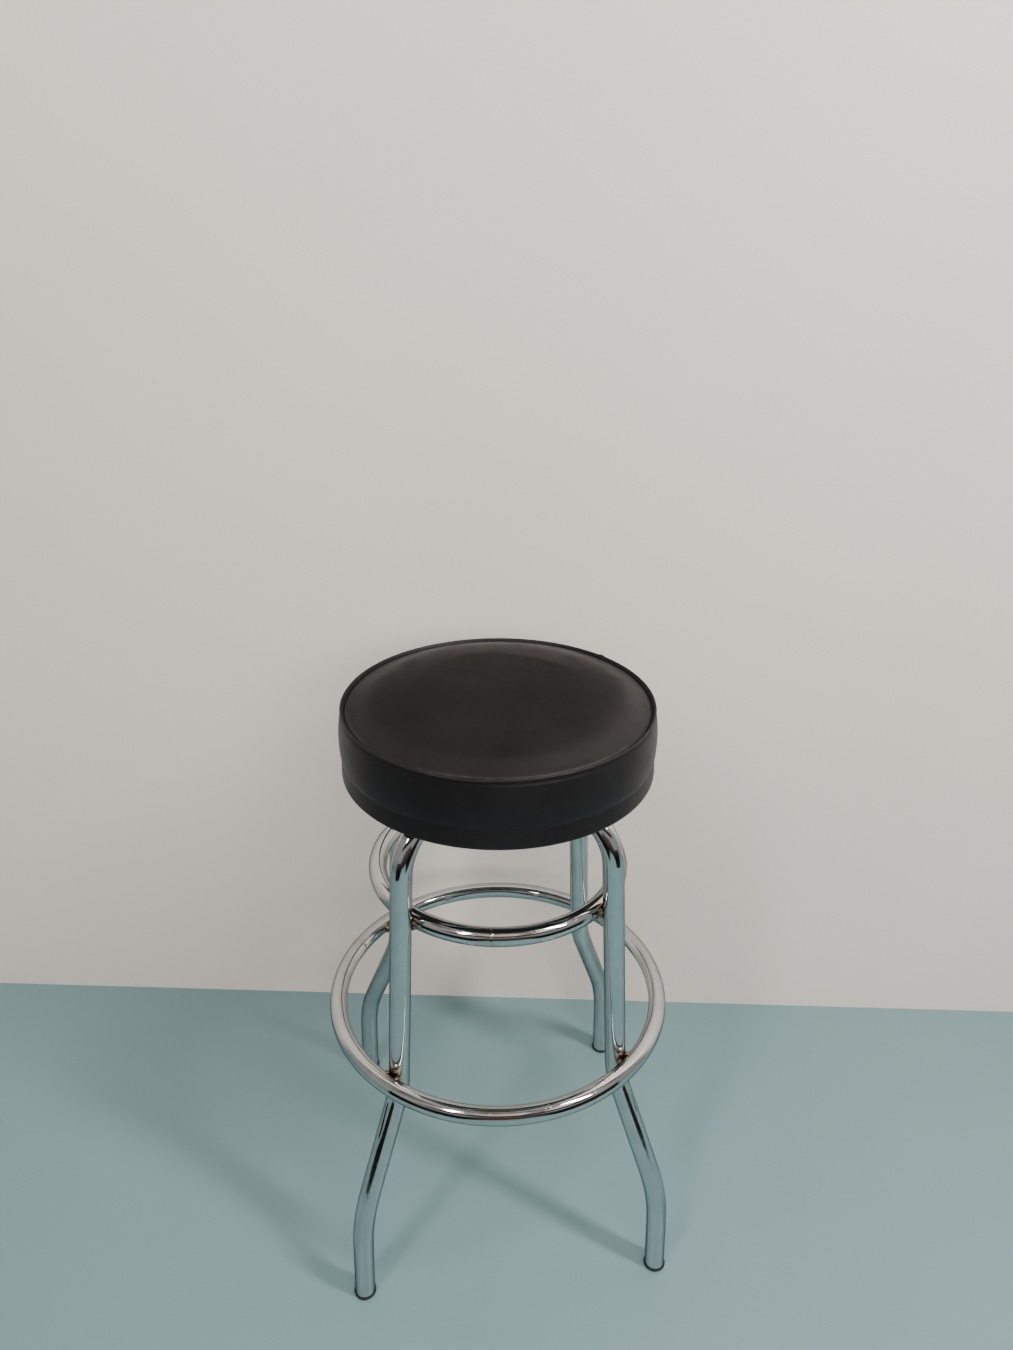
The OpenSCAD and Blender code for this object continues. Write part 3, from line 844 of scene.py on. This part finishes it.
# ---------------------------------------------------------------- seat screws
def screw(azimuth, turn):
    roof = BAR_Z - LEG_R + DIMPLE_DEPTH
    tip = screw_hi.z - roof
    head_r = 0.0055
    profile = [(0, tip), (0.0006, tip - 0.0006), (0.00265, tip - 0.006), (0.00275, tip - 0.0066)]
    profile += [(0.00275 - 0.00028 * (k % 2), (tip - 0.0072) * (1 - k / 34)) for k in range(34)]
    profile += [(0.0028, 0.0004), (head_r - 0.0006, 0.0), (head_r, -0.0005)]
    profile += [(head_r * cos(a) ** 0.62, -0.0005 - 0.0027 * sin(a))
                for a in [radians(d) for d in (12, 24, 36, 48, 60, 70, 80)]]
    profile += [(0, -0.0032)]
    ob = lathe("screw", profile[::-1], 64)
    arms = []
    for quarter in (0, 1):
        w, l, d = 0.00072, 0.0032, 0.0021
        outer = [(-l, -w), (l, -w), (l, w), (-l, w)]
        inner = [(-l * 0.42, -w * 0.7), (l * 0.42, -w * 0.7), (l * 0.42, w * 0.7), (-l * 0.42, w * 0.7)]
        pts = [(x, y, -0.0045) for x, y in outer] + [(x, y, -0.0032 + d) for x, y in inner]
        c, s = cos(quarter * pi / 2), sin(quarter * pi / 2)
        pts = [(x * c - y * s, x * s + y * c, z) for x, y, z in pts]
        arms.append(new_mesh("recess", pts, [(3, 2, 1, 0), (4, 5, 6, 7), (0, 1, 5, 4), (1, 2, 6, 5),
                                             (2, 3, 7, 6), (3, 0, 4, 7)], False))
    for arm in arms:
        cut_away(ob, arm)
    ob.matrix_world = Matrix.Translation(spot(SCREW_RHO, azimuth, roof)) @ Matrix.Rotation(turn, 4, "Z")
    return ob


screws = [screw(a, t) for a, t in zip(LEG_AZIMUTHS, (0.3, 1.1, 2.0, 2.7))]
bpy.context.view_layer.update()
screws = join("seat_screws_pan_head", screws)
screw_points = points_of(screws)
# darker inside each cross recess and in a ring round the foot of each head
in_recess = np.zeros(len(screw_points))
for a in LEG_AZIMUTHS:
    d = np.hypot(screw_points[:, 0] - SCREW_RHO * cos(a), screw_points[:, 1] - SCREW_RHO * sin(a))
    low = screw_points[:, 2] - screw_lo.z
    in_recess = np.maximum(in_recess, (d < 0.0033) * smooth(low, 0.0006, 0.0018))
    in_recess = np.maximum(in_recess, 0.7 * smooth(d, 0.0046, 0.0055) * (low < 0.004))
add_float(screws, "tone_mask", in_recess)
sharp_by_angle(screws, 40)
finish_piece(screws, SCREW, "seat_screws")


# ---------------------------------------------------------------- seat cover
COLS = 120  # points around the coarse cover
PINCH_R = SEAT_R - 0.0025
HEM_R = SEAT_R - 0.0015
HEM_Z = WRAP_Z + 0.005
WRAP_INNER = 0.152
DIP_AT, FOLD_AT, BAND_JOINT_AT = -108, -79, 38  # bearings in degrees
seam_wave = waves(101, 5, 2, 6)
side_wave = waves(102, 6, 2, 9)
pucker_wave = waves(103, 9, 18, 60)
fine_wave = waves(104, 12, 70, 150)


def crown_z(r):
    return SEAM_Z + (CROWN_Z - SEAM_Z) * (1 - (r / SEAM_R) ** 3.5)


def cover_profile():
    """(r, z, label) from the top's centre over the edge, down the side and under the board."""
    rows = [(r, crown_z(r) - 0.0012, "top") for r in np.linspace(0.012, SEAM_R - 0.0125, 18)]
    rows += [(SEAM_R - 0.0090, crown_z(SEAM_R - 0.0090) - 0.0009, "top")]
    # the seam, and beside it the band's edge, standing up as a narrow rolled welt
    rows += [(SEAM_R + out, SEAM_Z + up, label) for out, up, label in (
        (-0.0064, 0.0004, "top"), (-0.0050, -0.0005, "top"), (-0.0045, -0.0019, "top"),
        (-0.0042, -0.0042, "seam"), (-0.0028, -0.0016, "welt"), (-0.0008, 0.0005, "welt"),
        (0.0014, -0.0012, "welt"), (0.0004, -0.0040, "stitch"), (0.0012, -0.0066, "side"))]
    bulge = SEAT_R - (SEAM_R + PINCH_R) / 2 - 0.0012
    for u in np.linspace(0.15, 0.93, 8):
        rows.append((SEAM_R + (PINCH_R - SEAM_R) * u + bulge * sin(pi * u),
                     SEAM_Z + (PINCH_Z - SEAM_Z) * u, "side"))
    rows += [(PINCH_R - 0.0014, PINCH_Z, "pinch")]
    for u in np.linspace(0.22, 1, 3):
        rows.append((PINCH_R + (HEM_R - PINCH_R) * u - 0.0006, PINCH_Z + (HEM_Z - PINCH_Z) * u, "hem"))
    rows += [(HEM_R - 0.005 + 0.005 * cos(a) - 0.0004, HEM_Z - 0.005 * sin(a) + 0.0003, "hem")
             for a in np.radians([25, 50, 75])]
    rows += [(r, WRAP_Z + 0.0003, "wrap") for r in np.linspace(HEM_R - 0.007, WRAP_INNER, 4)]
    return rows


def closed_cover(name, rows):
    """The whole cover as one coarse mesh of rings, with its centre point."""
    a = circle(COLS)
    points = [polar(r, a, z) for r, z, _ in rows]
    points = np.concatenate(points + [np.array([[0, 0, CROWN_Z - 0.0012]])])
    faces = grid_faces(len(rows), COLS, flip=True)
    centre = len(points) - 1
    faces += [(centre, k, (k + 1) % COLS) for k in range(COLS)]
    return new_mesh(name, points, faces)


def press_out(ob, pins, frames, pressure, cap, stiffness, bending, gravity=0.0, shrink=0.0):
    """Runs Blender's cloth on ob with these pin weights, caps the movement and keeps the result."""
    start = points_of(ob)
    group = ob.vertex_groups.new(name="pins")
    for weight in np.unique(pins[pins > 0]):
        group.add(np.flatnonzero(pins == weight).tolist(), float(weight), "REPLACE")
    cloth = ob.modifiers.new("Cloth", "CLOTH")
    s = cloth.settings
    s.quality = 7
    s.mass = 0.3
    s.tension_stiffness = s.compression_stiffness = stiffness
    s.shear_stiffness = stiffness * 0.6
    s.bending_stiffness = bending
    s.use_pressure = pressure != 0
    s.uniform_pressure_force = pressure
    s.vertex_group_mass = "pins"
    s.shrink_min = shrink
    s.effector_weights.gravity = gravity
    cloth.collision_settings.use_collision = False
    cloth.point_cache.frame_start, cloth.point_cache.frame_end = 1, frames
    scene = bpy.context.scene
    for f in range(1, frames + 1):
        scene.frame_set(f)
    apply_modifiers(ob)
    scene.frame_set(1)
    moved = points_of(ob) - start
    far = np.linalg.norm(moved, axis=1)[:, None]
    moved *= np.minimum(1, cap / np.maximum(far, 1e-9))
    set_points(ob, start + moved)


def even_out(ob, labels):
    """Takes the short ripples out of the pressed cover, most of all on the top panel."""
    co = points_of(ob)
    grid = co[:len(labels) * COLS].reshape(len(labels), COLS, 3)
    rho, height = np.hypot(grid[:, :, 0], grid[:, :, 1]), grid[:, :, 2]
    angle = np.arctan2(grid[:, :, 1], grid[:, :, 0])
    reach = np.arange(-12, 13)
    weights = bell(reach, 0, 5.0)
    weights /= weights.sum()
    shares = {"top": 0.92, "welt": 0.6, "side": 0.55, "hem": 0.35}
    share = np.array([shares.get(label, 0.0) for label in labels])[:, None]
    for values in (rho, height):
        even = sum(w * np.roll(values, k, 1) for w, k in zip(weights, reach))
        values += (even - values) * share
    grid[:] = polar(rho, angle, height)
    set_points(ob, co)


cover_rows = cover_profile()
cover = closed_cover("cover", cover_rows)
labels = [label for _, _, label in cover_rows]
pins = np.zeros(len(cover_rows) * COLS + 1)
for i, label in enumerate(labels):
    row = slice(i * COLS, (i + 1) * COLS)
    if label in ("seam", "stitch"):
        pins[row] = 1.0
    elif label == "pinch":
        pins[row] = np.where(np.arange(COLS) % 3 == 0, 1.0, 0.0)
    elif i >= labels.index("wrap") - 3:
        pins[row] = 1.0
press_out(cover, pins, 20, 4.0, 0.0028, 28.0, 0.6)
even_out(cover, labels)
row_value = np.concatenate([np.repeat(np.arange(len(cover_rows), dtype=float), COLS), [-1.0]])
add_float(cover, "row", row_value)
subdivide(cover, 2)
cover_points = points_of(cover)
cover_row = np.zeros(len(cover_points), np.float32)
cover.data.attributes["row"].data.foreach_get("value", cover_row)
seam_row = labels.index("seam")
pinch_row = labels.index("pinch")
wrap_row = labels.index("wrap")

theta = np.arctan2(cover_points[:, 1], cover_points[:, 0])
rad = np.hypot(cover_points[:, 0], cover_points[:, 1])
high = cover_points[:, 2]
from_seam = cover_row - seam_row
# the seam wanders a little up and down, and the stitches pull small puckers on both sides of it
near_seam = bell(from_seam, 0, 2.6)
high = high + 0.0010 * seam_wave(theta) * near_seam
high = high - 0.0022 * bell(turn_from(theta, DIP_AT), 0, 0.20) * near_seam
rad = rad - 0.00060 * (0.5 + 0.5 * pucker_wave(theta)) * bell(from_seam, 4.4, 1.5)
rad = rad - 0.00015 * (0.5 + 0.5 * pucker_wave(theta + 0.4)) * bell(from_seam, -1.4, 0.9)
# a fuller fold of the band in front, lifted and gathered under the seam
turn = turn_from(theta, FOLD_AT)
full = bell(turn, 0, 0.30) * bell(from_seam, 5.4, 1.0)
rad = rad + (0.0010 + 0.00018 * np.sin(turn * 41 + 1.3 * np.sin(turn * 15))) * full
# broad softness of the side, the pinch over the board's edge, and faint tension lines
on_side = smooth(from_seam, 3.5, 5.5) * (1 - smooth(cover_row, pinch_row - 1.0, pinch_row + 0.5))
rad = rad + 0.0007 * side_wave(theta) * on_side
rad = rad + 0.00022 * fine_wave(theta) * bell(cover_row - pinch_row, 0.6, 1.2)
# where the band's two ends are sewn together
gap_line = np.abs(turn_from(theta, BAND_JOINT_AT)) * SEAM_R
on_band = smooth(from_seam, 0.1, 0.7) * (1 - smooth(cover_row, wrap_row - 1, wrap_row + 1))
rad = rad - 0.0014 * bell(gap_line, 0, 0.0012) * on_band
rad = rad + 0.0003 * bell(gap_line, 0.0038, 0.0022) * on_band
# a small tuck in the rim by that joint
rad = rad + 0.0012 * bell(gap_line, 0, 0.0030) * bell(from_seam, 2.2, 0.9)
# pleats of the vinyl, gathered under the board
pleat = waves(105, 10, 30, 64)
under = smooth(cover_row, wrap_row - 1.2, wrap_row + 0.8) * (1 - smooth(rad, HEM_R - 0.009, HEM_R - 0.001))
high = high - 0.0006 * np.clip(pleat(theta) + 0.35, 0, None) * under
# the top: a slight hollow from use, and long shallow creases near its rim
on_top = 1 - smooth(from_seam, -2.2, -0.8)
top_noise = noise_at(cover_points, 13, 5.0)
high = high + 0.0005 * top_noise * on_top
radial = waves(106, 8, 9, 26)
high = high - 0.00015 * (0.5 + 0.5 * radial(theta)) * bell(rad, 0.166, 0.012) * on_top
high = high + 0.0015 * bell(gap_line, 0, 0.0026) * bell(from_seam, 1.8, 1.0)
high = np.minimum(high, CROWN_Z)
rad = np.minimum(rad, SEAT_R + 0.0012)
set_points(cover, polar(rad, theta, high))

# where the vinyl is painted lighter: rubbed wear on the raised edges, and a painted highlight along the
# top's rolled rim, the welt and the hem
edge_wear_and_highlight = bell(from_seam, -1.7, 0.8) + 0.9 * bell(from_seam, 2.0, 0.6)
edge_wear_and_highlight += 0.5 * bell(cover_row - wrap_row, -2.5, 1.2)
# painted shade in the seam's groove and along the stitch line
painted_groove_shade = np.exp(-(from_seam / 0.60) ** 4) + 0.55 * bell(from_seam, 4.0, 0.45)


def split_cover(name, keep, node):
    """The part of the cover's mesh where keep is true at all corners, given the vinyl's thickness."""
    faces = [list(p.vertices) for p in cover.data.polygons]
    faces = [f for f in faces if all(keep[v] for v in f)]
    used = sorted({v for f in faces for v in f})
    where = {v: i for i, v in enumerate(used)}
    co = points_of(cover)[used]
    ob = new_mesh(name, co, [[where[v] for v in f] for f in faces])
    add_float(ob, "tone_mask", edge_wear_and_highlight[used])
    add_float(ob, "crease", painted_groove_shade[used])
    thick = ob.modifiers.new("thickness", "SOLIDIFY")
    thick.thickness, thick.offset = VINYL * 0.9, -1
    thick.use_even_offset = False
    apply_modifiers(ob)
    finish_piece(ob, VINYL_BLACK, node)


split_cover("seat_cover_top", cover_row <= seam_row + 0.001, "seat_top_panel")
split_cover("seat_cover_side", cover_row >= seam_row - 0.001, "seat_side_band")
bpy.data.objects.remove(cover)


# ---------------------------------------------------------------- foam core
def foam_core():
    """The foam: a crowned pad over the board and down around its edge, blown out by cloth pressure."""
    gap = 0.0050
    board_r = board_hi.x + 0.0006
    board_top = board_hi.z + 0.0004
    skirt = board_lo.z + 0.0010
    outer = [(0, CROWN_Z - gap)]
    outer += [(r, crown_z(r) - gap) for r in np.linspace(0.02, SEAM_R - 0.014, 14)]
    outer += [(SEAM_R - 0.0085, SEAM_Z - 0.0080)]
    for u in np.linspace(0.2, 0.95, 9):
        outer.append((SEAM_R + (PINCH_R - SEAM_R) * u + 0.0022 * sin(pi * u) - gap,
                      SEAM_Z + (PINCH_Z - SEAM_Z) * u))
    outer += [(HEM_R - gap, PINCH_Z - 0.008), (HEM_R - gap, skirt)]
    outer += [(board_r, skirt), (board_r, board_top), (0, board_top)]
    ob = lathe("seat_foam_core", outer, 120)
    ob.data.flip_normals()
    remesh = ob.modifiers.new("remesh", "REMESH")
    remesh.mode, remesh.voxel_size, remesh.use_smooth_shade = "VOXEL", 0.0045, True
    apply_modifiers(ob)
    co = points_of(ob)
    press_out(ob, (co[:, 2] < board_hi.z + 0.004) * 1.0, 16, 4.0, 0.0022, 22.0, 0.5)
    shade_smooth(ob.data)
    subdivide(ob, 1)
    co = points_of(ob)
    over_board = (np.hypot(co[:, 0], co[:, 1]) < board_r - 0.004) & (co[:, 2] < board_hi.z + 0.003)
    co[:, 2] = np.where(over_board, np.maximum(co[:, 2], board_top), co[:, 2])
    set_points(ob, co)
    finish_piece(ob, FOAM, "foam_cushion")


foam_core()


# ---------------------------------------------------------------- dust cover
def dust_cover():
    """A thin cloth disc stapled under the board: slack between its staples and the crossbars."""
    rings, cols = 44, 216
    level = MOUNT_Z + 0.00045
    radii = np.linspace(0, DUST_R, rings + 1)[1:]
    a = circle(cols)
    points = np.concatenate([[(0, 0, level)]] + [polar(r, a, level) for r in radii])
    faces = [(0, 1 + (k + 1) % cols, 1 + k) for k in range(cols)]
    faces += grid_faces(rings, cols, start=1)
    ob = new_mesh("seat_dust_cover", points, faces)
    x, y = points[:, 0], points[:, 1]
    rho, theta = np.hypot(x, y), np.arctan2(y, x)
    on_bar = np.zeros(len(points), bool)
    bar_gap = np.ones(len(points))
    for t in LEG_AZIMUTHS[:2]:
        along, beside = np.abs(x * cos(t) + y * sin(t)), np.abs(-x * sin(t) + y * cos(t))
        on_bar |= (beside < 0.006) & (along < 0.112)
        bar_gap = np.minimum(bar_gap, smooth(np.where(along < 0.118, beside, 1.0), 0.007, 0.026))
    step = 2 * pi / STAPLE_COUNT
    nearest = (np.floor(theta / step) + 0.5) * step
    from_staple = np.hypot(rho - STAPLE_RHO, rho * (theta - nearest))
    stapled = from_staple < 0.0058
    # slack comes from gathers at the staples and from cloth a little larger than its span
    between = np.abs(np.cos(theta * STAPLE_COUNT / 2))
    gather = waves(111, 12, 26, 90)
    rim = smooth(rho, 0.105, 0.160)
    drop = 0.0034 * rim * (0.5 + 0.5 * gather(theta)) ** 2 * (0.35 + 0.65 * between)
    long_fold = noise_at(np.stack([x * 0.6 + y * 0.35, y * 1.7 - x * 0.5, points[:, 2]], -1), 21, 2.0)
    small_fold = noise_at(points, 55, 9.0)
    inner = 1 - smooth(rho, 0.140, 0.165)
    crease = bell(long_fold, -0.06, 0.085) + 0.5 * bell(small_fold, 0, 0.09)
    drop += inner * bar_gap * (0.0014 + 0.0024 * long_fold + 0.0008 * small_fold + 0.0010 * crease)
    drop = np.clip(drop, 0, 0.0045) * (1 - smooth(0.0090 - from_staple, 0.0, 0.0045))
    drop[on_bar] = 0
    co = points.copy()
    co[:, 2] = level - drop
    set_points(ob, co)
    pins = np.where(stapled | on_bar, 1.0, np.where(rho > DUST_R - 0.002, 0.35, 0.0))
    press_out(ob, pins, 22, 0.0, 0.0032, 9.0, 0.02, gravity=1.0, shrink=-0.006)
    co = points_of(ob)
    lowest = np.where(on_bar | stapled, level, MOUNT_Z - 0.0052)
    co[:, 2] = np.clip(co[:, 2], lowest, level)
    co[:, 2] = np.maximum(co[:, 2], level - 0.0004 - 0.006 * bar_gap)
    set_points(ob, co)
    subdivide(ob, 1)
    finish_piece(ob, DUST_CLOTH, "dust_cover")


dust_cover()

# CAD nodes that stay, with their own materials
for node, material in (("seat_board", PLYWOOD), ("cover_staples", STAPLE), ("dust_cover_staples", STAPLE)):
    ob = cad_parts[node]
    ob.data.materials.clear()
    ob.data.materials.append(material)


# ---------------------------------------------------------------- floor, wall, lights and camera
def stage_plane(name, corners, colour, rough, variation):
    """A plain matt surface that is seen only from its front, so that it never hides the stool."""
    m = Nodes(name)
    low = tuple(c * (1 - variation) for c in colour)
    m.link(m.ramp(m.noise(2.2, 4, 0.55), (0.35, low), (0.65, colour)), "Base Color")
    m.set(Roughness=rough, Specular_IOR_Level=0.35)
    choose = m.node("MixShader", Fac=m.node("NewGeometry").outputs["Backfacing"])
    m.link(m.shader.outputs[0], choose.inputs[1])
    m.link(m.node("BsdfTransparent").outputs[0], choose.inputs[2])
    ob = new_mesh(name, corners, [(0, 1, 2, 3)], False)
    ob.data.materials.append(m.show(choose.outputs[0]))


stage_plane("stage_floor", [(-4, -4, 0), (4, -4, 0), (4, 4, 0), (-4, 4, 0)],
            (0.189, 0.304, 0.315), 0.42, 0.05)
WALL_Y, WALL_SLOPE, WALL_TOP = 0.327, -0.1397, 3.2
wall_left, wall_right = ((x, WALL_Y + WALL_SLOPE * x) for x in (-4, 4))
stage_plane("stage_wall", [wall_left + (0,), wall_right + (0,), wall_right + (WALL_TOP,),
                           wall_left + (WALL_TOP,)], (0.87, 0.765, 0.690), 0.8, 0.03)


def reflected_only(name, points, faces, m, colour):
    """A glowing studio card: the polished metal reflects it, and nothing else sees it."""
    ob = new_mesh(name, points, faces, False)
    ob.data.materials.append(m.show(m.node("Emission", Color=colour).outputs[0]))
    ob.visible_camera = ob.visible_diffuse = ob.visible_shadow = False


# a dark card curving from the front left to the front right, raised in the middle, and another
# behind the seat
CARD_R = 1.30
bearings = np.linspace(205, 332, 65)
raised = smooth(bearings, 243, 261) * (1 - smooth(bearings, 281, 299))
card_points = []
for a, rise in zip(np.radians(bearings), raised):
    card_points += [spot(CARD_R, a, 0.001 + 0.43 * rise), spot(CARD_R, a, 0.66 + 0.35 * rise)]
card_faces = [(2 * k, 2 * k + 1, 2 * k + 3, 2 * k + 2) for k in range(len(bearings) - 1)]
card_points += [(x, 0.24, z) for x, z in ((-0.30, 0.80), (-0.30, 1.60), (0.26, 1.60), (0.26, 0.80))]
card_faces.append(tuple(range(len(card_points) - 4, len(card_points))))
m = Nodes("card_brown")
shade = m.ramp(m.noise(2.4, 2), (0.40, (0.008, 0.0065, 0.006)), (0.60, (0.030, 0.023, 0.019)))
reflected_only("dark_cards", card_points, card_faces, m,
               m.mix(m.span(m.axis("Z"), 0.42, 0.95), shade, (0.130, 0.102, 0.086)))

# overhead, from the back to the front: a grey ceiling, a row of windows in pieces, and a dark far end
m = Nodes("panels")
across = m.plus(m.axis("X"), m.times(m.math("SUBTRACT", m.noise(2.5, 2), 0.5), 0.5))
lamps = m.ramp(m.span(across, -2.0, 2.0), (0.0, (0.46, 0.44, 0.42)), (0.125, (1.25, 1.18, 1.10)),
               (0.25, (0.34, 0.31, 0.29)), (0.32, (0.78, 0.74, 0.70)), (0.42, (1.10, 0.80, 0.54)),
               (0.585, (1.30, 1.26, 1.22)), (0.61, (0.42, 0.34, 0.32)), (0.71, (0.16, 0.135, 0.12)),
               (0.75, (1.30, 1.28, 1.25)), (0.975, (0.50, 0.48, 0.46)), steps=True)
tiles = m.ramp(m.noise(1.0, 1, 0.4, m.scaled((2.2, 1.6, 1), (0, 0, 0.4))),
               (0.0, (0.16, 0.14, 0.13)), (0.42, (0.38, 0.36, 0.345)), (0.53, (0.25, 0.225, 0.21)),
               (0.60, (0.52, 0.49, 0.47)), steps=True)
depth = m.axis("Y")
panels = m.mix(m.span(depth, -1.30, -1.22), lamps, tiles)
panels = m.mix(m.span(depth, -2.42, -2.15), (0.14, 0.105, 0.08), panels)
panels = m.mix(m.span(depth, -3.0, -2.6), (0.022, 0.018, 0.016), panels)
reflected_only("panels_overhead", [(-3.6, -3.8, 2.7), (-3.6, 0.6, 2.7), (3.6, 0.6, 2.7), (3.6, -3.8, 2.7)],
               [(0, 1, 2, 3)], m, panels)


def area_light(name, at, target, size, power, colour):
    data = bpy.data.lights.new(name, "AREA")
    data.shape = "RECTANGLE"
    data.size, data.size_y = size
    data.energy = power
    data.color = colour
    ob = bpy.data.objects.new(name, data)
    ob.location = at
    ob.rotation_mode = "QUATERNION"
    ob.rotation_quaternion = (Vector(target) - Vector(at)).to_track_quat("-Z", "Y")
    ob.visible_camera = False
    bpy.context.scene.collection.objects.link(ob)
    return ob


area_light("ceiling_strip_left", (-1.0, -1.3, 2.6), (-0.2, -0.1, 0.3), (0.25, 1.3), 26, (1.0, 0.975, 0.94))
area_light("ceiling_strip_right", (1.25, -0.9, 2.5), (0.1, 0.0, 0.3), (0.22, 1.2), 52, (1.0, 0.98, 0.95))
window = area_light("front_window", (0.5, -3.4, 2.1), (0, 0.3, 0.7), (2.2, 0.9), 60, (0.96, 0.975, 1.0))
window.visible_glossy = False

# the room around: even and pale, a little brighter overhead
m = Nodes("room", bpy.data.worlds, "Background")
m.place = m.place.node.outputs["Generated"]
m.link(m.ramp(m.span(m.axis("Z"), -1, 1), (0.0, (0.26, 0.30, 0.30)), (0.47, (0.26, 0.30, 0.30)),
              (0.53, (0.34, 0.335, 0.325)), (0.70, (0.36, 0.35, 0.335)), (1.0, (0.46, 0.45, 0.44))), "Color")
bpy.context.scene.world = m.block

camera_data = bpy.data.cameras.new("camera")
camera_data.sensor_fit = "AUTO"
camera_data.sensor_width = 36
camera_data.lens = 26.95
camera_data.clip_start, camera_data.clip_end = 0.02, 50
camera = bpy.data.objects.new("camera", camera_data)
bpy.context.scene.collection.objects.link(camera)
forward = Vector((0.095, 0.901, -0.424)).normalized()
up = Vector((0.040, 0.4225, 0.9055))
up = (up - forward * up.dot(forward)).normalized()
right = forward.cross(up)
camera.matrix_world = Matrix.Translation((-0.101, -1.049, 1.274)) @ Matrix((
    (right.x, up.x, -forward.x), (right.y, up.y, -forward.y), (right.z, up.z, -forward.z))).to_4x4()
bpy.context.scene.camera = camera
